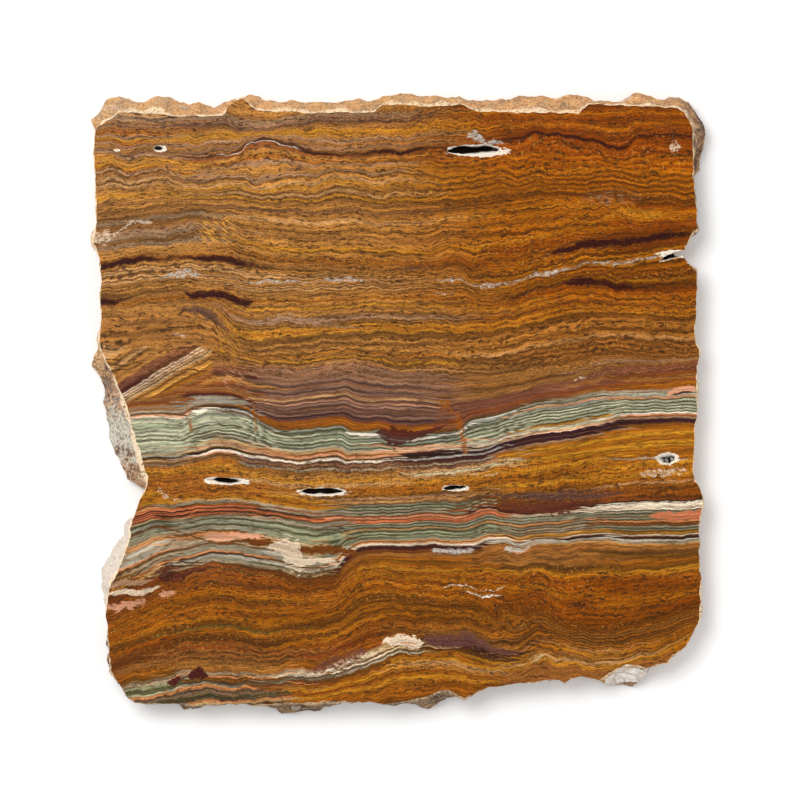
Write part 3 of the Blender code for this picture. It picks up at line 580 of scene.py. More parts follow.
        (274, 170, 0), (284, 170.5, 2), (300, 170, 2.5), (314, 170, 0), (395, 269, 0), (405, 268, 2),
        (424, 268, 2), (434, 269, 0)]},
    {"name": "paleSlit", "colour": "sand", "ragged": 0.6, "points": [
        (528, 664, 0), (534, 661, 1.5), (540, 657, 1.8), (545, 654, 0.8), (548, 653, 0)]},
    {"name": "creamThreads", "colour": "cream", "ragged": 0.9, "patchy": 1.0, "points": [
        (436, 587, 0), (442, 587, 0.7), (450, 586, 1), (462, 586, 1.5), (475, 588, 0.8), (492, 590, 1.2),
        (502, 587, 1), (508, 584, 0)]},
    {"name": "creamThreadsLow", "colour": "ivory", "ragged": 0.9, "patchy": 0.7, "points": [
        (462, 592, 0), (470, 593, 1), (480, 595, 1.2), (490, 596, 1.6), (500, 595, 1.4), (504, 594, 0)]},
    {"name": "hollowTail", "colour": "greySand", "ragged": 1.0, "strength": 0.8, "points": [
        (600, 459, 0), (612, 459, 1), (630, 459, 1), (645, 458, 1.5), (655, 458, 1.5), (686, 459, 1),
        (690, 459, 0)]},
    {"name": "rightCreamPatch", "colour": "cream", "ragged": 1.4, "patchy": 1.0, "strength": 0.85,
     "points": [
        (669, 149, 0), (671, 148, 5), (676, 148, 6), (680, 149, 4), (682, 149, 0)]},
]

# The steep wedge of beds at the left, which healed at a slant against the others.

slantedWedge = {
    "top": [(90, 344), (150, 346), (190, 344), (212, 348), (232, 352)],
    "bottom": [(90, 392), (127, 404), (150, 399), (180, 391), (215, 384), (238, 386)],
    "right": 214,
    "rise": 0.60,                   # how far its beds climb for each step to the right
    "at": 150,
    "bands":
        "330 tan 337 caramel 341 umber 345 tan 349 umber 353 caramel 357 brown 361 caramel 365 plumBrown "
        "370 plumBrown 373 wine 376 wine 378 cream 379 brown 381 cream 382 brown 384 sand 385 umber "
        "387 sand 389 caramel 392 umber 394 caramel 397 honey 399 umber 402 amber 406 brown 410 rust "
        "416 caramel",
}

# Healed cracks: from one place to another, half their width, and the stain that fills them.

veins = [
    ((187, 404), (192, 434), 2.2, "rustAmber"),
    ((253, 405), (256, 432), 2.0, "rustAmber"),
    ((444, 398), (448, 414), 6.0, "rustAmber"),
    ((457, 412), (466, 456), 3.6, "rustAmber"),
    ((496, 506), (509, 530), 1.4, "deepUmber"),
    ((664, 303), (667, 342), 1.2, "deepUmber"),
]

# Sheaves of slender crystals: middle, reach, the way they point in degrees below the level, stain and
# strength.

feathers = [
    ((216, 229), (26, 19), 36, "honey", 0.95),
    ((229, 342), (15, 34), 62, "gold", 0.45),
    ((232, 378), (14, 12), 40, "peach", 0.55),
    ((612, 198), (34, 9), 8, "mauveGrey", 0.6),
]

# Small hollows in the face: middle, length and width in pixels, with the white calcite rim round each and how
# far that rim is shifted. "lined" is how many mm down the lining reaches, where it doesn't reach all the way.

hollows = [
    {"middle": (471.5, 149), "size": (58, 10.5), "rim": 0.20, "shift": (8, 2.6)},
    {"middle": (224, 480), "size": (41, 6.4), "rim": 0.32, "shift": (3, 1.5)},
    {"middle": (322, 491), "size": (47, 7.2), "rim": 0.22, "shift": (0, 1.5)},
    {"middle": (454, 487), "size": (25, 5.4), "rim": 0.32, "shift": (2, 1.2)},
    {"middle": (667, 457), "size": (20, 11), "rim": 0.35, "shift": (1, 1.8)},
    {"middle": (158, 147.5), "size": (11, 5.2), "rim": 0.5, "shift": (2.5, 1.2)},
    {"middle": (116, 149.5), "size": (5, 2.2), "rim": 0.6, "shift": (1, 0.8)},
    {"middle": (673, 255), "size": (26, 6.0), "rim": 0.7, "shift": (2, -1.0), "lined": 6.0},
]


# The banded stone, as one group of nodes that every surface of the slab reads

onyx = {
    "dip": 0.35,                    # how far the beds lean back for each mm down through the slab
    # How the beds swell: length, height down the face and size, in mm, and how restless each part is
    "swells": [(15.0, 34.0, 2.0), (5.0, 10.0, 0.95), (2.1, 2.8, 0.32), (0.8, 0.9, 0.17)],
    "restless": [(90, 1.0), (365, 1.0), (385, 0.7), (410, 0.5), (455, 0.5), (475, 1.0), (495, 0.9),
                 (515, 0.5), (560, 0.6), (590, 1.0), (735, 1.0)],
    # Where the beds curl round each other: middle and reach in pixels, and size in mm
    "curls": [((505, 613), (34, 22), 7.0), ((600, 205), (46, 16), 3.5), ((205, 228), (34, 18), 3.0)],
    "curlRepeat": 0.16,             # curls for each mm
    "interleave": 34.0,             # mm by which two columns finger into each other
    "fingers": (30.0, 1.1),         # length and thickness of those fingers in mm
    "frayed": (3.2, 0.9),           # and of the frays along a streak's edge
    # An even iron stain over the bands: its share down the face, and its colours from left to right
    "wash": [(90, 0.12), (350, 0.2), (372, 0.08), (395, 0.0), (455, 0.0), (472, 0.2), (492, 0.15), (506, 0.0),
             (560, 0.0), (590, 0.25), (630, 0.2), (650, 0.0), (735, 0.0)],
    "washColours": [(0.0, "caramel"), (0.45, "caramel"), (0.75, "amber"), (1.0, "amber")],
    # Where the iron lies deeper, all is browner and less blue: at the far side, most at the right, and nearer
    "deepTint": "#E4BE2E",
    "deepNearTint": "#CFAE42",
    "deepFar": [(90, 1.0), (285, 1.0), (305, 0.55), (350, 0.4), (378, 0.0), (555, 0.0)],
    "deepNear": [(455, 0.0), (470, 0.15), (500, 0.2), (515, 0.2), (566, 0.3), (590, 0.9), (632, 0.9),
                 (650, 0.6), (665, 0.35), (735, 0.4)],
    "deepRight": [(100, 0.0), (330, 0.15), (440, 0.6), (540, 1.0), (700, 1.0)],
    # How grainy the beds are, and where they have upright fibres
    "grainy": [(90, 1.0), (360, 1.0), (378, 0.4), (400, 0.2), (415, 0.12), (455, 0.12), (466, 1.0),
               (500, 0.9), (512, 0.15), (558, 0.2), (580, 1.0), (640, 1.0), (665, 0.7), (735, 0.7)],
    "fibrous": [(456, 0.0), (470, 0.35), (492, 0.35), (506, 0.0), (735, 0.0)],
    "fibres": (0.75, 3.2),          # thickness and height of a fibre in mm
    # Laminae, growth lines, dashes and crumbs: length and thickness in mm, and the detail in them
    "laminae": {"fine": (30.0, 0.66, 3.0), "broad": (60.0, 3.6, 1.0), "hair": (30.0, 1.9, 1.5),
                "thread": (14.0, 1.2, 1.5), "dash": (3.2, 1.0, 1.0), "crumb": (1.9, 0.7, 1.0)},
    "fineContrast": (0.60, 1.46),
    "broadContrast": (0.90, 1.14),
    "growthLines": {"hair": 0.038, "thread": 0.052},    # how wide each kind of dark line is
    "lineStrength": 0.85,
    "crumbStrength": 0.4,
    "sheaf": (4.5, 0.8),            # length and thickness in mm of a crystal in a sheaf
    "grain": 0.52,                  # mm, the sugary calcite grain
    "grainContrast": (0.68, 1.30),
    "patch": 1.3,                   # mm, coarser pale and dark specks
    "streakShade": (0.6, 1.3),      # how dark and how bright a streak gets against its own stain
}


def bedHeight(points, x):                           # the height of a bed at one place, by straight runs
    for (x0, y0), (x1, y1) in zip(points, points[1:]):
        if x <= x1:
            return y0 + (y1 - y0) * (x - x0) / (x1 - x0)
    return points[-1][1]


def drawnCurve(tree, along, points):                # a curve through places in the photograph's frame
    value = add(tree, "FloatCurve", None, along)
    drawn = value.node.mapping
    side = photo["side"]
    line = drawn.curves[0]
    for index, (x, y) in enumerate(points):
        if index < 2:
            line.points[index].location = (x / side, y / side)
        else:
            line.points.new(x / side, y / side)
    for point in line.points:
        point.handle_type = "AUTO_CLAMPED"
    drawn.extend = "HORIZONTAL"
    drawn.update()
    return value


def readBands(text):                                # "418 cream 420 sage" as [(418, "cream"), (420, "sage")]
    words = text.split()
    return list(zip(map(float, words[::2]), words[1::2]))


def bandRamp(tree, share, bands):                   # bands: (0 to 1 through the bed, name of the stain)
    colour = add(tree, "ValToRGB", share)
    colour.node.color_ramp.interpolation = "EASE"
    stops = colour.node.color_ramp.elements
    for index, (place, name) in enumerate(bands):
        stop = stops[index] if index < 2 else stops.new(place)
        stop.position = place
        stop.color = linearColour(stain[name])
    return colour


def swell(tree, place, length, height, size):       # noise that lifts and lowers the beds
    scaled = add(tree, "VectorMath", place, (1 / length, 1 / height, 1.0), operation="MULTIPLY")
    bumps = add(tree, "TexNoise", scaled, 1.0, 1.0, 0.5, noise_dimensions="2D")
    return add(tree, "MapRange", bumps, 0.0, 1.0, -size, size, clamp=False)


def makeGroup(name, takes, gives):                  # a group of nodes: its tree, and its inputs by name
    tree = bpy.data.node_groups.new(name, "ShaderNodeTree")
    for label, kind in takes.items():
        tree.interface.new_socket(label, in_out="INPUT", socket_type="NodeSocket" + kind)
    for label, kind in gives.items():
        tree.interface.new_socket(label, in_out="OUTPUT", socket_type="NodeSocket" + kind)
    return tree, tree.nodes.new("NodeGroupInput").outputs


def giveOut(tree, **values):                        # what a group hands on
    out = tree.nodes.new("NodeGroupOutput")
    for label, value in values.items():
        tree.links.new(value, out.inputs[label])
    return tree


def makeBed(bed):                                   # all the bands between two beds, column by column
    tree, inputs = makeGroup(f"bed{bed:02d}", {"Share": "Float", "Along": "Float"}, {"Color": "Color"})
    share, side = inputs["Share"], photo["side"]
    filled = None
    for column in columns[bed]:
        high, low = (bedHeight(beds[bed + i], column["at"]) for i in (0, 1))
        bands = [((y - high) / (low - high), name) for y, name in readBands(column["bands"])]
        bands = [(min(1.0, max(0.0, place)), name) for place, name in bands]
        painted = bandRamp(tree, share, bands)
        if filled is None:
            filled = painted
            continue
        start, blend = column["x"] / side, column.get("blend", 40) / side
        reached = add(tree, "MapRange", inputs["Along"], start - blend / 4, start + blend / 4, 0.0, 1.0)
        filled = add(tree, "Mix", reached, filled, painted, data_type="RGBA")
    return giveOut(tree, Color=filled)


def makeStreak(streak):                             # one lens-shaped streak over the bands
    takes = {"Color": "Color", "Along": "Float", "Down": "Float", "Ragged": "Float", "Light": "Float",
             "Patch": "Float"}
    tree, inputs = makeGroup(streak["name"], takes, {"Color": "Color"})
    points = streak["points"]
    (x0, y0, h0), (x1, y1, h1) = points[0], points[-1]
    points = [(x0 - 8, y0, h0)] + points + [(x1 + 8, y1, h1)]
    centre = drawnCurve(tree, inputs["Along"], [(x, y) for x, y, half in points])
    half = drawnCurve(tree, inputs["Along"], [(x, h) for x, y, h in points])
    off = add(tree, "Math", inputs["Down"], centre, operation="SUBTRACT")
    apart = add(tree, "Math", off, operation="ABSOLUTE")
    wide = streak.get("wide", 1.0)
    widened = add(tree, "Math", inputs["Ragged"], streak["ragged"] * wide / 2, wide, operation="MULTIPLY_ADD")
    inner = add(tree, "Math", half, widened, operation="MULTIPLY")
    inside = add(tree, "Math", inner, apart, operation="SUBTRACT")
    mask = add(tree, "MapRange", inside, 0.0, streak.get("soft", 0.9) / photo["side"], 0.0,
               streak.get("strength", 1.0))
    patchy = streak.get("patchy", 0.0)
    if patchy:
        worn = add(tree, "MapRange", inputs["Patch"], 0.40, 0.54, 1.0 - patchy, 1.0)
        mask = add(tree, "Math", mask, worn, operation="MULTIPLY")
    hue = linearColour(stain[streak["colour"]])
    dark, bright = ([c * share for c in hue[:3]] + [1.0] for share in onyx["streakShade"])
    lit = add(tree, "MapRange", inputs["Light"], 0.55, 1.45, 0.0, 1.0)
    shaded = add(tree, "Mix", lit, dark, bright, data_type="RGBA")
    return giveOut(tree, Color=add(tree, "Mix", mask, inputs["Color"], shaded, data_type="RGBA"))


def makeWedge():                                    # the slanted wedge at the left
    takes = {"Color": "Color", "Along": "Float", "Down": "Float"}
    tree, inputs = makeGroup("slantedWedge", takes, {"Color": "Color"})
    along, down, side = inputs["Along"], inputs["Down"], photo["side"]
    climb = add(tree, "Math", along, slantedWedge["at"] / side, operation="SUBTRACT")
    slanted = add(tree, "Math", climb, slantedWedge["rise"], down, operation="MULTIPLY_ADD")
    bands = readBands(slantedWedge["bands"])
    first, last = bands[0][0] / side, bands[-1][0] / side
    wedgeShare = add(tree, "MapRange", slanted, first, last, 0.0, 1.0)
    wedge = bandRamp(tree, wedgeShare, [((y / side - first) / (last - first), name) for y, name in bands])
    top, bottom = (drawnCurve(tree, along, slantedWedge[edge]) for edge in ("top", "bottom"))
    underTop = add(tree, "Math", down, top, operation="SUBTRACT")
    overBottom = add(tree, "Math", bottom, down, operation="SUBTRACT")
    toRight = add(tree, "Math", slantedWedge["right"] / side, along, operation="SUBTRACT")
    within = add(tree, "Math", add(tree, "Math", underTop, overBottom, operation="MINIMUM"), toRight,
                 operation="MINIMUM")
    mask = add(tree, "MapRange", within, 0.0, 3 / side, 0.0, 1.0)
    return giveOut(tree, Color=add(tree, "Mix", mask, inputs["Color"], wedge, data_type="RGBA"))


def makeVeins():                                    # healed cracks
    takes = {"Color": "Color", "Along": "Float", "Down": "Float", "Ragged": "Float", "Patch": "Float"}
    tree, inputs = makeGroup("healedCracks", takes, {"Color": "Color"})
    worn = add(tree, "MapRange", inputs["Patch"], 0.38, 0.52, 0.1, 0.8)
    colour, side = inputs["Color"], photo["side"]
    for (x0, y0), (x1, y1), half, name in veins:
        slope = (x1 - x0) / (y1 - y0)
        line = add(tree, "Math", inputs["Down"], slope, (x0 - slope * y0) / side, operation="MULTIPLY_ADD")
        off = add(tree, "Math", add(tree, "Math", inputs["Along"], line, operation="SUBTRACT"),
                  operation="ABSOLUTE")
        wander = add(tree, "Math", inputs["Ragged"], 0.6 * half / side, half / side, operation="MULTIPLY_ADD")
        across = add(tree, "Math", wander, off, operation="SUBTRACT")
        above = add(tree, "Math", inputs["Down"], y0 / side, operation="SUBTRACT")
        under = add(tree, "Math", y1 / side, inputs["Down"], operation="SUBTRACT")
        inside = add(tree, "Math", add(tree, "Math", above, under, operation="MINIMUM"), across,
                     operation="MINIMUM")
        mask = add(tree, "Math", add(tree, "MapRange", inside, 0.0, 1.5 / side, 0.0, 1.0), worn,
                   operation="MULTIPLY")
        colour = add(tree, "Mix", mask, colour, linearColour(stain[name]), data_type="RGBA")
    return giveOut(tree, Color=colour)


def makeFeathers():                                 # sheaves of crystals that grew across the beds
    takes = {"Color": "Color", "Place": "Vector"}
    tree, inputs = makeGroup("crystalSheaves", takes, {"Color": "Color"})
    colour, pixel = inputs["Color"], photo["mmPerPixel"]
    long, thick = onyx["sheaf"]
    for (x, y), (wide, high), turn, name, strength in feathers:
        angle = math.radians(turn)
        offset = add(tree, "VectorMath", inputs["Place"], (x * pixel, y * pixel, 0.0), operation="SUBTRACT")
        shrunk = add(tree, "VectorMath", offset, (1 / (wide * pixel), 1 / (high * pixel), 0.0),
                     operation="MULTIPLY")
        far = add(tree, "VectorMath", shrunk, operation="LENGTH")
        near = add(tree, "MapRange", far, 1.0, 0.55, 0.0, strength)
        lengthwise = add(tree, "VectorMath", offset, (math.cos(angle) / long, math.sin(angle) / long, 0.0),
                         operation="DOT_PRODUCT")
        across = add(tree, "VectorMath", offset, (-math.sin(angle) / thick, math.cos(angle) / thick, 0.0),
                     operation="DOT_PRODUCT")
        strokes = add(tree, "TexNoise", add(tree, "CombineXYZ", lengthwise, across, 0.0), 1.0, 1.0, 0.5,
                      noise_dimensions="2D")
        bright = add(tree, "Math", add(tree, "MapRange", strokes, 0.52, 0.64, 0.0, 1.0), near,
                     operation="MULTIPLY")
        colour = add(tree, "Mix", bright, colour, linearColour(stain[name]), data_type="RGBA")
        dark = add(tree, "Math", add(tree, "MapRange", strokes, 0.42, 0.32, 0.0, 0.6), near,
                   operation="MULTIPLY")
        colour = add(tree, "Mix", dark, colour, linearColour(stain["umber"]), data_type="RGBA")
    return giveOut(tree, Color=colour)


def makeRims():                                     # white calcite round the hollows
    takes = {"Color": "Color", "Place": "Vector", "Ragged": "Float"}
    tree, inputs = makeGroup("calciteRims", takes, {"Color": "Color"})
    colour, pixel = inputs["Color"], photo["mmPerPixel"]
    for hollow in hollows:
        (x, y), (long, wide) = hollow["middle"], hollow["size"]
        shiftX, shiftY = hollow["shift"]
        middle = ((x + shiftX) * pixel, (y + shiftY) * pixel, cadBox[1][2] / mm)
        offset = add(tree, "VectorMath", inputs["Place"], middle, operation="SUBTRACT")
        scaled = add(tree, "VectorMath", offset, (2 / (long * pixel), 2 / (wide * pixel), 0.05),
                     operation="MULTIPLY")
        out = add(tree, "VectorMath", scaled, operation="LENGTH")
        edge = add(tree, "Math", inputs["Ragged"], 0.22, 1.0 + hollow["rim"] * 0.5, operation="MULTIPLY_ADD")
        mask = add(tree, "MapRange", add(tree, "Math", edge, out, operation="SUBTRACT"), 0.0, 0.12, 0.0, 0.95)
        colour = add(tree, "Mix", mask, colour, linearColour(stain["ivory"]), data_type="RGBA")
    return giveOut(tree, Color=colour)


def makeWarp():                                     # the place on the face, with the beds' swell worked in
    gives = {"Along": "Float", "Down": "Float", "Fingered": "Float", "AlongMm": "Float", "Place": "Vector",
             "Ragged": "Float", "InMm": "Vector"}
    tree = makeGroup("bedWarp", {}, gives)[0]
    pixel = photo["mmPerPixel"]
    frameMm = photo["side"] * pixel
    middleX, middleY = (v * pixel for v in photo["slabMiddle"])

    # Millimetres from the photograph's left and top, with the beds' lean taken out
    here = add(tree, "TexCoord").node.outputs["Object"]
    inMm = add(tree, "VectorMath", here, 1 / mm, operation="SCALE")
    xyz = add(tree, "SeparateXYZ", inMm).node.outputs
    alongMm = add(tree, "Math", xyz[0], middleX, operation="ADD")
    depth = add(tree, "Math", cadBox[1][2] / mm, xyz[2], operation="SUBTRACT")
    lean = add(tree, "Math", depth, onyx["dip"], operation="MULTIPLY")
    level = add(tree, "Math", middleY, xyz[1], operation="SUBTRACT")
    downMm = add(tree, "Math", level, lean, operation="ADD")
    place = add(tree, "CombineXYZ", alongMm, downMm, xyz[2])

    # Beds swell and crinkle together, and in a few places curl round each other
    far = add(tree, "Math", downMm, frameMm, operation="DIVIDE")
    restless = drawnCurve(tree, far, [(y, share * photo["side"]) for y, share in onyx["restless"]])
    lifted = downMm
    for length, height, size in onyx["swells"]:
        lifted = add(tree, "Math", swell(tree, place, length, height, size), restless, lifted,
                     operation="MULTIPLY_ADD")
    curl = add(tree, "TexNoise", place, onyx["curlRepeat"], 1.0, 0.5, noise_dimensions="2D")
    for (x, y), (wide, high), size in onyx["curls"]:
        offset = add(tree, "VectorMath", place, (x * pixel, y * pixel, 0.0), operation="SUBTRACT")
        shrunk = add(tree, "VectorMath", offset, (1 / (wide * pixel), 1 / (high * pixel), 0.0),
                     operation="MULTIPLY")
        far = add(tree, "VectorMath", shrunk, operation="LENGTH")
        near = add(tree, "MapRange", far, 1.2, 0.3, 0.0, 1.0, interpolation_type="SMOOTHSTEP")
        push = add(tree, "MapRange", curl, 0.0, 1.0, -size, size, clamp=False)
        lifted = add(tree, "Math", near, push, lifted, operation="MULTIPLY_ADD")
    along = add(tree, "Math", alongMm, frameMm, operation="DIVIDE")
    down = add(tree, "Math", lifted, frameMm, operation="DIVIDE")

    # Where one column of bands gives way to the next, they finger into each other bed by bed
    flat = add(tree, "CombineXYZ", alongMm, lifted, 0.0)
    stretched = {}
    for name in ("fingers", "frayed"):
        long, thick = onyx[name]
        stretched[name] = add(tree, "VectorMath", flat, (1 / long, 1 / thick, 1.0), operation="MULTIPLY")
    fingers = add(tree, "TexNoise", stretched["fingers"], 1.0, 1.0, 0.5, noise_dimensions="2D")
    reach = onyx["interleave"] / frameMm
    slid = add(tree, "MapRange", fingers, 0.0, 1.0, -reach, reach, clamp=False)
    fingered = add(tree, "Math", along, slid, operation="ADD")
    edges = add(tree, "TexNoise", stretched["frayed"], 1.0, 1.5, 0.5, noise_dimensions="2D")
    ragged = add(tree, "MapRange", edges, 0.25, 0.75, -1.0, 1.0, clamp=False)

    # Both places carry a trace of the last noise, so that Cycles ends the noise before it starts on the beds.
    # Else it keeps too many values at a time, and the stone comes out black.
    trace = 0.000001
    along = add(tree, "Math", ragged, trace, along, operation="MULTIPLY_ADD")
    down = add(tree, "Math", ragged, trace, down, operation="MULTIPLY_ADD")
    return giveOut(tree, Along=along, Down=down, Fingered=fingered, AlongMm=alongMm, Place=place,
                   Ragged=ragged, InMm=inMm)


def makeLaminae():                                  # fine laminae: iron comes and goes along each bed
    takes = {"Color": "Color", "AlongMm": "Float", "Strata": "Float", "Grainy": "Float", "Fibrous": "Float"}
    tree, inputs = makeGroup("laminae", takes, {"Color": "Color", "Light": "Float"})
    bedPlace = add(tree, "CombineXYZ", inputs["AlongMm"], inputs["Strata"], 0.0)
    spread = {}
    for name, (length, thick, detail) in onyx["laminae"].items():
        scaled = add(tree, "VectorMath", bedPlace, (1 / length, 1 / thick, 1.0), operation="MULTIPLY")
        spread[name] = add(tree, "TexNoise", scaled, 1.0, detail, 0.6, noise_dimensions="2D")
    shade = add(tree, "MapRange", spread["fine"], 0.30, 0.70, *onyx["fineContrast"])
    slow = add(tree, "MapRange", spread["broad"], 0.30, 0.70, *onyx["broadContrast"])
    light = add(tree, "Math", shade, slow, operation="MULTIPLY")
    thick, high = onyx["fibres"]
    upright = add(tree, "VectorMath", bedPlace, (1 / thick, 1 / high, 1.0), operation="MULTIPLY")
    fibres = add(tree, "TexNoise", upright, 1.0, 1.0, 0.5, noise_dimensions="2D")
    combed = add(tree, "MapRange", fibres, 0.3, 0.7, -0.5, 0.5)
    ribbed = add(tree, "Math", combed, inputs["Fibrous"], 1.0, operation="MULTIPLY_ADD")
    light = add(tree, "Math", ribbed, light, operation="MULTIPLY")
    grey = add(tree, "CombineColor", light, light, light)
    colour = add(tree, "Mix", 1.0, inputs["Color"], grey, data_type="RGBA", blend_type="MULTIPLY")

    # Thin dark lines between two growth layers, whole in the calm beds and broken up in the grainy ones
    broken = add(tree, "MapRange", spread["dash"], 0.38, 0.56, -0.5, 0.5)
    dashes = add(tree, "Math", broken, inputs["Grainy"], 0.5, operation="MULTIPLY_ADD")
    for name, thin in onyx["growthLines"].items():
        off = add(tree, "Math", spread[name], 0.5, operation="SUBTRACT")
        middle = add(tree, "Math", off, operation="ABSOLUTE")
        line = add(tree, "MapRange", middle, thin * 0.35, thin, onyx["lineStrength"], 0.0)
        drawn = add(tree, "Math", line, dashes, operation="MULTIPLY")
        colour = add(tree, "Mix", drawn, colour, linearColour(stain["deepUmber"]), data_type="RGBA")

    # Honey-coloured crumbs in clusters
    clusters = add(tree, "MapRange", spread["broad"], 0.46, 0.60, 0.0, onyx["crumbStrength"])
    crumbs = add(tree, "MapRange", spread["crumb"], 0.62, 0.70, 0.0, 1.0)
    crumbs = add(tree, "Math", add(tree, "Math", crumbs, clusters, operation="MULTIPLY"), inputs["Grainy"],
                 operation="MULTIPLY")
    colour = add(tree, "Mix", crumbs, colour, linearColour(stain["honey"]), data_type="RGBA")
    return giveOut(tree, Color=colour, Light=light)


def useGroup(tree, group, **values):                # a group inside another: its outputs by name
    made = tree.nodes.new("ShaderNodeGroup")
    made.node_tree = group
    for label, value in values.items():
        tree.links.new(value, made.inputs[label])
    return made.outputs


def makeOnyxGroup():                                # the whole stone: its colour and its grain
    tree = makeGroup("bandedOnyx", {}, {"Color": "Color", "Grain": "Float"})[0]
    pixel = photo["mmPerPixel"]
    warp = useGroup(tree, makeWarp())
    along, down = warp["Along"], warp["Down"]

    # The beds, one after another, and the depth through them all in mm
    colour, strata, top = None, 0.0, drawnCurve(tree, along, beds[0])
    for bed in range(len(columns)):
        bottom = drawnCurve(tree, along, beds[bed + 1])
        below = add(tree, "Math", down, top, operation="SUBTRACT")
        thick = add(tree, "Math", bottom, top, operation="SUBTRACT")
        share = add(tree, "Math", below, thick, operation="DIVIDE", use_clamp=True)
        usual = (bedHeight(beds[bed + 1], 350) - bedHeight(beds[bed], 350)) * pixel
        strata = add(tree, "Math", share, usual, strata, operation="MULTIPLY_ADD")
        filled = useGroup(tree, makeBed(bed), Share=share, Along=warp["Fingered"])["Color"]
        if colour is None:
            colour = filled
        else:
            inside = add(tree, "Math", below, 0.0, operation="GREATER_THAN")
            colour = add(tree, "Mix", inside, colour, filled, data_type="RGBA")
        top = bottom
    colour = useGroup(tree, makeWedge(), Color=colour, Along=along, Down=down)["Color"]
    washed = drawnCurve(tree, down, [(y, share * photo["side"]) for y, share in onyx["wash"]])
    colour = add(tree, "Mix", washed, colour, bandRamp(tree, along, onyx["washColours"]), data_type="RGBA")
    zones = {}
    for zone in ("deepFar", "deepNear", "grainy", "fibrous"):
        zones[zone] = drawnCurve(tree, down, [(y, share * photo["side"]) for y, share in onyx[zone]])
    toRight = drawnCurve(tree, along, [(x, share * photo["side"]) for x, share in onyx["deepRight"]])
    deep = add(tree, "Math", zones["deepFar"], toRight, operation="MULTIPLY")
    colour = add(tree, "Mix", deep, colour, linearColour(onyx["deepTint"]), data_type="RGBA",
                 blend_type="MULTIPLY")
    colour = add(tree, "Mix", zones["deepNear"], colour, linearColour(onyx["deepNearTint"]), data_type="RGBA",
                 blend_type="MULTIPLY")
    laminae = useGroup(tree, makeLaminae(), Color=colour, AlongMm=warp["AlongMm"], Strata=strata,
                       Grainy=zones["grainy"], Fibrous=zones["fibrous"])
    colour = laminae["Color"]
    grainPlace = add(tree, "VectorMath", warp["InMm"], 1 / onyx["grain"], operation="SCALE")
    grain = add(tree, "TexNoise", grainPlace, 1.0, 1.0, 0.6)
    coarsePlace = add(tree, "VectorMath", warp["InMm"], 1 / onyx["patch"], operation="SCALE")
    patch = add(tree, "TexNoise", coarsePlace, 1.0, 1.5, 0.6)
    for streak in streaks:
        colour = useGroup(tree, makeStreak(streak), Color=colour, Along=along, Down=down,
                          Ragged=warp["Ragged"], Light=laminae["Light"], Patch=patch)["Color"]
    colour = useGroup(tree, makeVeins(), Color=colour, Along=along, Down=down, Ragged=warp["Ragged"],
                      Patch=patch)["Color"]
    colour = useGroup(tree, makeFeathers(), Color=colour, Place=warp["Place"])["Color"]
    colour = useGroup(tree, makeRims(), Color=colour, Place=warp["Place"], Ragged=warp["Ragged"])["Color"]

    # Sugary grain, with a few pale and dark specks
    lowGrain, highGrain = onyx["grainContrast"]
    speck = add(tree, "MapRange", grain, 0.3, 0.7, lowGrain - 1.0, highGrain - 1.0)
    sugary = add(tree, "MapRange", zones["grainy"], 0.0, 1.0, 0.4, 1.0)
    speck = add(tree, "Math", speck, sugary, 1.0, operation="MULTIPLY_ADD")
    colour = add(tree, "Mix", 1.0, colour, add(tree, "CombineColor", speck, speck, speck), data_type="RGBA",
                 blend_type="MULTIPLY")
    pale = add(tree, "Math", add(tree, "MapRange", patch, 0.70, 0.78, 0.0, 0.35), zones["grainy"],
               operation="MULTIPLY")
    colour = add(tree, "Mix", pale, colour, linearColour(stain["sand"]), data_type="RGBA")
    dark = add(tree, "Math", add(tree, "MapRange", patch, 0.34, 0.26, 0.0, 0.7), zones["grainy"],
               operation="MULTIPLY")
    colour = add(tree, "Mix", dark, colour, linearColour(stain["umber"]), data_type="RGBA")
    giveOut(tree, Color=colour, Grain=grain)
    print("stage 2: banded onyx")
    return tree


onyxGroup = makeOnyxGroup()


# The four surfaces of the stone

stone = {
    "node": "onyx_slab",
    "cuts": 2,                      # each broken facet is cut this many times before it is roughened
    "facets": (8.5, 2.2, 0.15),     # crystal facets: size and relief in mm, and the share that cuts in
    "facetSteepness": 1.2,
    "crumble": (1.8, 0.6, 0.5),     # finer crumbling: the same three
    "fade": 1.2,                    # mm over which the roughness fades in from a sawn face
    "chips": (2.4, 0.5),            # chips along the arris: their length and depth in mm
    "chipSeed": 1,                  # without a fixed seed, the noise would chip it another way each run
    "wear": (7.0, 0.6),             # wear of the arris: over what length it changes, and how deep, in mm
    "lump": (626, 677),             # where the white calcite lump sits
    "lining": (0.6, 0.75),          # half length and half width of a hollow's lining, as shares of the hollow
    "crustRim": 1.4,                # how far round a hollow the lining reaches
    "calmRim": 2.5,                 # how far round a hollow the arris isn't worn
    "smooth": 38,                   # degrees under which two facets shade as one
    "refraction": 1.49,             # calcite
}


def newMaterial(name):
    material = bpy.data.materials.new(name)
    material.use_nodes = True
    tree = material.node_tree
    shader = tree.nodes["Principled BSDF"]
    shader.inputs["IOR"].default_value = stone["refraction"]
    return material, tree, shader


polished = {
    "roughness": (0.26, 0.36),      # from the clear grains to the sugary ones
    "gloss": 0.06,
}


def polishedOnyx():                                 # sawn and polished calcite: flat, with a soft low gloss
    material, tree, shader = newMaterial("polishedOnyx")
    bands = useGroup(tree, onyxGroup)
    tree.links.new(bands["Color"], shader.inputs["Base Color"])
    rough = add(tree, "MapRange", bands["Grain"], 0.3, 0.7, *polished["roughness"])
    tree.links.new(rough, shader.inputs["Roughness"])
    shader.inputs["Specular IOR Level"].default_value = polished["gloss"]
    return material


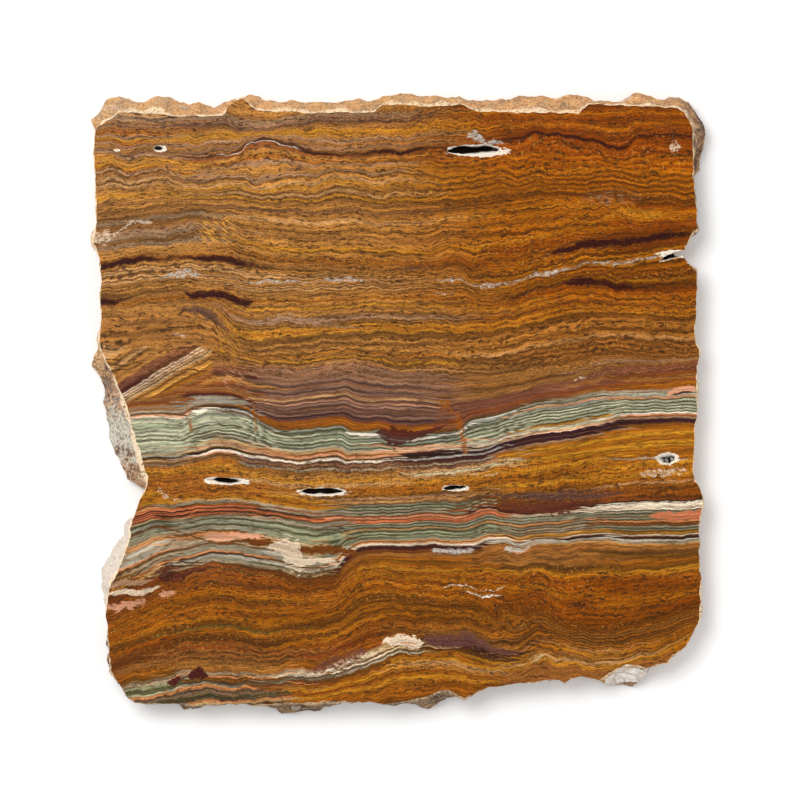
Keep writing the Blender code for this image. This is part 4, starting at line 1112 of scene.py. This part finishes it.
broken = {
    "peach": "#DDA468",             # fresh break, shown most on the far side as painted light
    "cream": "#F2D8B2",             # bruised arris, with a painted highlight
    "brown": "#6E4526",             # shaded and dusty
    "white": "#E6DACD",             # clean calcite
    "milk": "#CBCEC0",              # milky calcite where the green beds end
    "pink": "#C4A494",
    "nearShadeBrown": "#35261A",              # painted shade on the near side
    # grime: dirt on the left side, and also the painted shade on the right side by the far corner
    "grime": "#4A3428",
    "lumpMilk": "#DDD2C4",          # the calcite lump, from milky to clear, and the rust in its cracks
    "lumpClear": "#F6F1EA",
    "lumpRust": "#8A6038",
    "frosting": 0.22,               # how far the stone's own bands are veiled everywhere
    "patterns": {"blotches": (6.25, 3.0), "specks": (1.25, 2.0), "wide": (16.667, 2.0)},    # mm, and detail
    "layers": (18.182, 5.882, 4.348),    # mm along each axis: the layers that break up the near side's painted shade
    "cracks": 8.3333,               # mm between the lump's cracks
    "lumpHeight": 12.0,             # mm up to the middle of the lump, and half its length, width and height
    "lumpReach": (13.5, 9.0, 8.5),
    "arris": 2.2,                   # mm down from the face that the bruised edge and its painted highlight reach
    "wander": 14.0,                 # mm by which one kind of break strays into the next
    # Which break, painted light or painted shade lies where: along which axis, the mm where it begins and is
    # full, and its share at both
    "zones": {
        "left": ("x", -106, -124, 0.0, 1.0),
        "leftNear": ("y", 44, 18, 0.0, 1.0),
        "lowFar": ("y", -40, -58, 0.0, 0.85),
        "lowNear": ("y", -116, -98, 0.0, 1.0),
        "far": ("y", 100, 125, 0.4, 1.0),
        "milkFar": ("y", 0, -10, 0.0, 0.65),
        "milkNear": ("y", -34, -24, 0.0, 1.0),
        "near": ("y", -118, -140, 0.0, 1.0),
        "corner": ("straightX", 139, 146, 0.0, 0.97),
        "cornerFar": ("y", 40, 70, 0.3, 1.0),
    },
    "roughness": 0.78,
    "gloss": 0.3,
    "relief": (0.8, 0.002),         # strength and depth in metres of the finest roughness
}


def brokenOnyx():                                   # hammer-broken calcite: paler than the polish and dull
    material, tree, shader = newMaterial("brokenOnyx")
    bands = useGroup(tree, onyxGroup)
    here = add(tree, "TexCoord").node.outputs["Object"]
    xyz = add(tree, "SeparateXYZ", here).node.outputs
    patterns = {}
    for name, (size, detail) in broken["patterns"].items():
        patterns[name] = add(tree, "TexNoise", here, 1 / (size * mm), detail, 0.6)
    blotches, specks, wide = patterns.values()
    repeats = tuple(1 / (size * mm) for size in broken["layers"])
    layered = add(tree, "VectorMath", here, repeats, operation="MULTIPLY")
    layers = add(tree, "TexNoise", layered, 1.0, 4.0, 0.65)

    # The kinds of break stray into each other
    stray = broken["wander"] * mm
    astray = add(tree, "MapRange", blotches, 0.3, 0.7, -stray, stray, clamp=False)
    axes = {"x": add(tree, "Math", xyz[0], astray, operation="ADD"),
            "y": add(tree, "Math", xyz[1], astray, operation="ADD"),
            "straightX": xyz[0]}
    zones = {}
    for name, (axis, start, full, least, most) in broken["zones"].items():
        zones[name] = add(tree, "MapRange", axes[axis], start * mm, full * mm, least, most)
    left = add(tree, "Math", zones["left"], zones["leftNear"], operation="MULTIPLY")
    low = add(tree, "Math", left, zones["lowFar"], operation="MULTIPLY")
    low = add(tree, "Math", low, zones["lowNear"], operation="MULTIPLY")
    milk = add(tree, "Math", zones["milkFar"], zones["milkNear"], operation="MULTIPLY")

    # How much of each kind shows at a place
    # Peach frost of the fresh break, painted paler and stronger toward the far side as painted light
    frostAndFarLight = add(tree, "MapRange", blotches, 0.36, 0.62, 0.15, 0.95)
    frostAndFarLight = add(tree, "Math", frostAndFarLight, zones["far"], operation="MULTIPLY")
    pinkish = add(tree, "MapRange", wide, 0.42, 0.58, 0.05, 0.55)
    pinkish = add(tree, "Math", left, pinkish, operation="MULTIPLY")
    pinkish = add(tree, "Math", pinkish, add(tree, "Math", milk, 0.45, operation="ADD"), operation="MULTIPLY")
    milky = add(tree, "Math", milk, left, operation="MULTIPLY")
    mottle = add(tree, "Math", blotches, 0.5, operation="MULTIPLY")
    mottle = add(tree, "Math", specks, 0.5, mottle, operation="MULTIPLY_ADD")
    grime = add(tree, "MapRange", mottle, 0.53, 0.41, 0.05, 0.85)
    grime = add(tree, "Math", left, grime, operation="MULTIPLY")
    cleaner = add(tree, "MapRange", milky, 0.0, 0.65, 1.0, 0.6)
    grime = add(tree, "Math", grime, cleaner, operation="MULTIPLY")
    # Painted shade on the near side, broken into darker and lighter layers
    shadedNear = add(tree, "MapRange", layers, 0.38, 0.66, 0.9, 0.1)
    shadedNear = add(tree, "Math", zones["near"], shadedNear, operation="MULTIPLY")
    # Painted shade on the right side by the far corner, mottled, in the grime colour
    corner = add(tree, "MapRange", blotches, 0.42, 0.58, 1.0, 0.45)
    corner = add(tree, "Math", zones["corner"], corner, operation="MULTIPLY")
    corner = add(tree, "Math", corner, zones["cornerFar"], operation="MULTIPLY")
    bright = add(tree, "MapRange", specks, 0.57, 0.69, 0.0, 0.55)
    veined = add(tree, "MapRange", wide, 0.62, 0.72, 0.0, 0.5)
    # Dark brown specks, partly dust and partly painted shade, fewer on the white calcite low at the left
    dustAndShade = add(tree, "MapRange", specks, 0.45, 0.33, 0.0, 0.75)
    dustAndShade = add(tree, "Math", dustAndShade, add(tree, "MapRange", low, 0.0, 0.85, 1.0, 0.45), operation="MULTIPLY")

    # Frosted crystal faces over the stone's own bands, with painted light on the far side and painted shade
    # on the near side and the right corner
    colour = add(tree, "Mix", broken["frosting"], bands["Color"], linearColour(broken["cream"]),
                 data_type="RGBA")
    for share, name in ((frostAndFarLight, "peach"), (pinkish, "pink"), (milky, "milk"), (grime, "grime"),
                        (low, "white"), (shadedNear, "nearShadeBrown"), (corner, "grime"), (bright, "cream"),
                        (veined, "white"), (dustAndShade, "brown")):
        colour = add(tree, "Mix", share, colour, linearColour(broken[name]), data_type="RGBA")

    # Calcite lump at the lower right corner, with rust in its cracks
    lumpX, lumpY = (v * mm for v in photoToMm(*stone["lump"]))
    middle = (lumpX, lumpY, broken["lumpHeight"] * mm)
    fromLump = add(tree, "VectorMath", here, middle, operation="SUBTRACT")
    reach = tuple(1 / (half * mm) for half in broken["lumpReach"])
    shrunk = add(tree, "VectorMath", fromLump, reach, operation="MULTIPLY")
    out = add(tree, "VectorMath", shrunk, operation="LENGTH")
    uneven = add(tree, "MapRange", blotches, 0.3, 0.7, -0.45, 0.45, clamp=False)
    lump = add(tree, "MapRange", add(tree, "Math", out, uneven, operation="ADD"), 1.05, 0.9, 0.0, 0.95)
    clear = add(tree, "MapRange", blotches, 0.42, 0.60, 0.0, 1.0)
    cloudy = add(tree, "Mix", clear, linearColour(broken["lumpMilk"]), linearColour(broken["lumpClear"]),
                 data_type="RGBA")
    cracks = add(tree, "TexVoronoi", here, 1 / (broken["cracks"] * mm), feature="DISTANCE_TO_EDGE")
    rust = add(tree, "MapRange", cracks, 0.01, 0.07, 0.45, 0.0)
    cloudy = add(tree, "Mix", rust, cloudy, linearColour(broken["lumpRust"]), data_type="RGBA")
    colour = add(tree, "Mix", lump, colour, cloudy, data_type="RGBA")

    # The arris is bruised white and carries a painted highlight, less of it on the shaded near side and right
    # corner
    top = cadBox[1][2]
    edge = add(tree, "MapRange", xyz[2], top - broken["arris"] * mm, top, 0.0, 1.0)
    for kept in (add(tree, "MapRange", specks, 0.36, 0.52, 0.25, 1.0),
                 add(tree, "MapRange", zones["near"], 0.0, 1.0, 1.0, 0.3),
                 add(tree, "MapRange", corner, 0.1, 0.9, 1.0, 0.4)):
        edge = add(tree, "Math", edge, kept, operation="MULTIPLY")
    colour = add(tree, "Mix", edge, colour, linearColour(broken["cream"]), data_type="RGBA")
    tree.links.new(colour, shader.inputs["Base Color"])
    shader.inputs["Specular IOR Level"].default_value = broken["gloss"]
    shader.inputs["Roughness"].default_value = broken["roughness"]
    height = add(tree, "Math", specks, 0.6, blotches, operation="MULTIPLY_ADD")
    strength, depth = broken["relief"]
    bump = add(tree, "Bump", strength, depth, None, height)
    tree.links.new(bump, shader.inputs["Normal"])
    return material


crust = {
    "dark": "#1A100A",              # painted shade down in the hollow
    "clean": "#E8DED0",             # at its rim
    "crystals": "#CFC8BC",          # in the round hollow, which is full of them
    "rim": (1.6, 0.3),              # mm down from the face, where the painted shade ends and where the crust is clean
    "round": 4,                     # which hollow is the round one
    "roundReach": (9, 7),           # mm from its middle where its crystals begin and are full
    "crystalSize": 1.6129,          # mm
    "roughness": 0.5,
    "gloss": 0.1,
}


def calciteCrust():                                 # small white crystals that line the hollows, with painted shade down inside them
    material, tree, shader = newMaterial("calciteCrust")
    here = add(tree, "TexCoord").node.outputs["Object"]
    z = add(tree, "SeparateXYZ", here).node.outputs[2]
    top = cadBox[1][2]
    # Painted shade: dark deep in the hollow, the clean white crust only near the face
    shadeEnd, cleanStart = (top - down * mm for down in crust["rim"])
    lit = add(tree, "MapRange", z, shadeEnd, cleanStart, 0.0, 1.0)
    dark, clean = linearColour(crust["dark"]), linearColour(crust["clean"])
    colour = add(tree, "Mix", lit, dark, clean, data_type="RGBA")
    roundX, roundY = photoToMm(*hollows[crust["round"]]["middle"])
    apart = add(tree, "VectorMath", here, (roundX * mm, roundY * mm, top), operation="SUBTRACT")
    begin, full = (reach * mm for reach in crust["roundReach"])
    inRound = add(tree, "MapRange", add(tree, "VectorMath", apart, operation="LENGTH"), begin, full, 0.0, 0.9)
    crystals = add(tree, "TexNoise", here, 1 / (crust["crystalSize"] * mm), 2.0, 0.6)
    grown = add(tree, "MapRange", crystals, 0.42, 0.60, 0.0, 1.0)
    shown = add(tree, "Math", inRound, grown, operation="MULTIPLY")
    colour = add(tree, "Mix", shown, colour, linearColour(crust["crystals"]), data_type="RGBA")
    tree.links.new(colour, shader.inputs["Base Color"])
    shader.inputs["Specular IOR Level"].default_value = crust["gloss"]
    shader.inputs["Roughness"].default_value = crust["roughness"]
    return material


sawn = {
    "dust": "#C9AE8C",
    "dusty": 0.35,                  # how far the dust veils the bands
    "roughness": 0.72,
}


def sawnOnyx():                                     # the underside: sawn but not polished, with a dusty skin
    material, tree, shader = newMaterial("sawnOnyx")
    bands = useGroup(tree, onyxGroup)
    dust = linearColour(sawn["dust"])
    dusty = add(tree, "Mix", sawn["dusty"], bands["Color"], dust, data_type="RGBA")
    tree.links.new(dusty, shader.inputs["Base Color"])
    shader.inputs["Roughness"].default_value = sawn["roughness"]
    return material


# The stone itself

def selectFaces(slab, wanted):
    bpy.ops.object.mode_set(mode="OBJECT")
    for face in slab.data.polygons:
        face.select = wanted(face)
    bpy.ops.object.mode_set(mode="EDIT")


def makeSlab():
    top, bottom = cadBox[1][2], cadBox[0][2]
    near = 0.05 * mm
    bpy.ops.object.select_all(action="DESELECT")
    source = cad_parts[stone["node"]]
    slab = source.copy()
    slab.data = source.data.copy()
    slab.name = "onyxSlab"
    bpy.context.scene.collection.objects.link(slab)
    slab.select_set(True)
    bpy.context.view_layer.objects.active = slab
    bpy.ops.mesh.customdata_custom_splitnormals_clear()
    bpy.ops.object.mode_set(mode="EDIT")
    bpy.ops.mesh.select_mode(type="FACE")
    bpy.ops.mesh.select_all(action="SELECT")
    bpy.ops.mesh.remove_doubles(threshold=0.00001)
    bpy.ops.mesh.dissolve_limited(angle_limit=math.radians(0.3))

    def isFlat(face):
        height = face.center.z
        return abs(face.normal.z) > 0.999 and min(abs(height - top), abs(height - bottom)) < near

    selectFaces(slab, lambda face: not isFlat(face))
    bpy.ops.mesh.quads_convert_to_tris()
    bpy.ops.mesh.subdivide(number_cuts=stone["cuts"], smoothness=0.0)
    bpy.ops.object.mode_set(mode="OBJECT")

    openings = []
    for hollow in hollows:
        x, y = photoToMm(*hollow["middle"])
        long, wide = (size * share * photo["mmPerPixel"]
                      for size, share in zip(hollow["size"], stone["lining"]))
        floor = top - hollow["lined"] * mm if "lined" in hollow else bottom - near
        openings.append((x * mm, y * mm, long * mm, wide * mm, floor))

    def inHollow(place, reach):
        return any(((place.x - x) / a) ** 2 + ((place.y - y) / b) ** 2 < reach and place.z > floor
                   for x, y, a, b, floor in openings)

    # Chips and wear move the arris sideways, so the sawn face stays flat
    chipLength, chipDepth = (v * mm for v in stone["chips"])
    wearLength, wearDepth = (v * mm for v in stone["wear"])
    outward = [vert.normal.copy() for vert in slab.data.vertices]
    noise.seed_set(stone["chipSeed"])
    for vert in slab.data.vertices:
        if abs(vert.co.z - top) < near:
            bite = noise.noise_vector(vert.co / chipLength) * chipDepth
            if not inHollow(vert.co, stone["calmRim"]):
                worn = 1.0 + noise.noise(vert.co / wearLength)
                bite -= outward[vert.index] * wearDepth * worn
            vert.co.x += bite.x
            vert.co.y += bite.y

    # The broken sides are roughened, but stay just under the sawn face
    sawnHeights = [vert.co.z for vert in slab.data.vertices]
    rough = slab.vertex_groups.new(name="rough")
    for vert in slab.data.vertices:
        away = min(top - vert.co.z, vert.co.z - bottom)
        rough.add([vert.index], min(1.0, max(0.0, away / (stone["fade"] * mm))), "REPLACE")
    for name, kind in (("facets", "VORONOI"), ("crumble", "CLOUDS")):
        size, relief, inward = stone[name]
        texture = bpy.data.textures.new(name, kind)
        texture.noise_scale = size * mm
        if kind == "VORONOI":
            texture.distance_metric = "DISTANCE_SQUARED"
            texture.noise_intensity = stone["facetSteepness"]
        else:
            texture.noise_depth = 3
        shaped = slab.modifiers.new(name, "DISPLACE")
        shaped.texture = texture
        shaped.texture_coords = "LOCAL"
        shaped.vertex_group = "rough"
        shaped.strength = relief * mm
        shaped.mid_level = inward
        bpy.ops.object.modifier_apply(modifier=name)
    for vert in slab.data.vertices:
        ceiling = top if sawnHeights[vert.index] > top - near else top - 3 * near
        vert.co.z = min(ceiling, max(bottom, vert.co.z))

    slab.data.materials.clear()
    for material in (polishedOnyx(), brokenOnyx(), calciteCrust(), sawnOnyx()):
        slab.data.materials.append(material)
    polish, breaks, lining, underside = range(4)
    for face in slab.data.polygons:
        centre = face.center
        if isFlat(face):
            face.material_index = polish if centre.z > (top + bottom) / 2 else underside
        elif inHollow(centre, stone["crustRim"]):
            face.material_index = lining
        else:
            face.material_index = breaks
    selectFaces(slab, isFlat)
    bpy.ops.mesh.quads_convert_to_tris(ngon_method="BEAUTY")
    bpy.ops.object.mode_set(mode="OBJECT")
    bpy.ops.object.shade_smooth_by_angle(angle=math.radians(stone["smooth"]))
    for face in slab.data.polygons:                 # the two sawn faces are flat right up to the arris
        if isFlat(face):
            face.use_smooth = False
    slab.vertex_groups.clear()
    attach(slab, "root")
    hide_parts(stone["node"])
    print("stage 3: slab,", len(slab.data.polygons), "faces")
    return slab


makeSlab()


# The white ground, the light and the camera

studio = {
    "ground": "#FAFAFA",
    "groundSide": 6.0,
    "sky": 0.80,
    "keyPlace": (-0.7, 0.72, 2.1),
    "keySide": 1.0,
    "keyPower": 27.0,
    "cameraHeight": 2.2,
}


def makeStudio():
    bpy.ops.object.select_all(action="DESELECT")
    bpy.ops.mesh.primitive_plane_add(size=studio["groundSide"], location=(0, 0, 0))
    ground = bpy.context.active_object
    ground.name = "whiteGround"
    paper = bpy.data.materials.new("whitePaper")    # seamless background paper: bright and quite matt
    paper.use_nodes = True
    shader = paper.node_tree.nodes["Principled BSDF"]
    shader.inputs["Base Color"].default_value = linearColour(studio["ground"])
    shader.inputs["Roughness"].default_value = 0.95
    ground.data.materials.append(paper)

    world = bpy.data.worlds.new("studioSky")
    world.use_nodes = True
    sky = world.node_tree.nodes["Background"]
    sky.inputs["Color"].default_value = (1.0, 1.0, 1.0, 1.0)
    sky.inputs["Strength"].default_value = studio["sky"]
    bpy.context.scene.world = world

    bpy.ops.object.light_add(type="AREA", location=studio["keyPlace"])
    key = bpy.context.active_object
    key.name = "keyLight"
    key.data.size = studio["keySide"]
    key.data.energy = studio["keyPower"]
    key.rotation_euler = (-Vector(studio["keyPlace"])).to_track_quat("-Z", "Y").to_euler()


def makeCamera():
    top = cadBox[1][2]
    centreX, centreY = photoToMm(photo["side"] / 2, photo["side"] / 2)
    height = studio["cameraHeight"]
    bpy.ops.object.camera_add(location=(centreX * mm, centreY * mm, height))
    camera = bpy.context.active_object
    camera.name = "camera"
    wide = photo["side"] * photo["mmPerPixel"] * mm
    camera.data.sensor_width = 36.0
    camera.data.lens = camera.data.sensor_width * (height - top) / wide
    camera.rotation_euler = (0.0, 0.0, 0.0)
    bpy.context.scene.camera = camera


makeStudio()
makeCamera()
bpy.context.scene.view_settings.view_transform = "Standard"
print("stage 4: studio and camera")
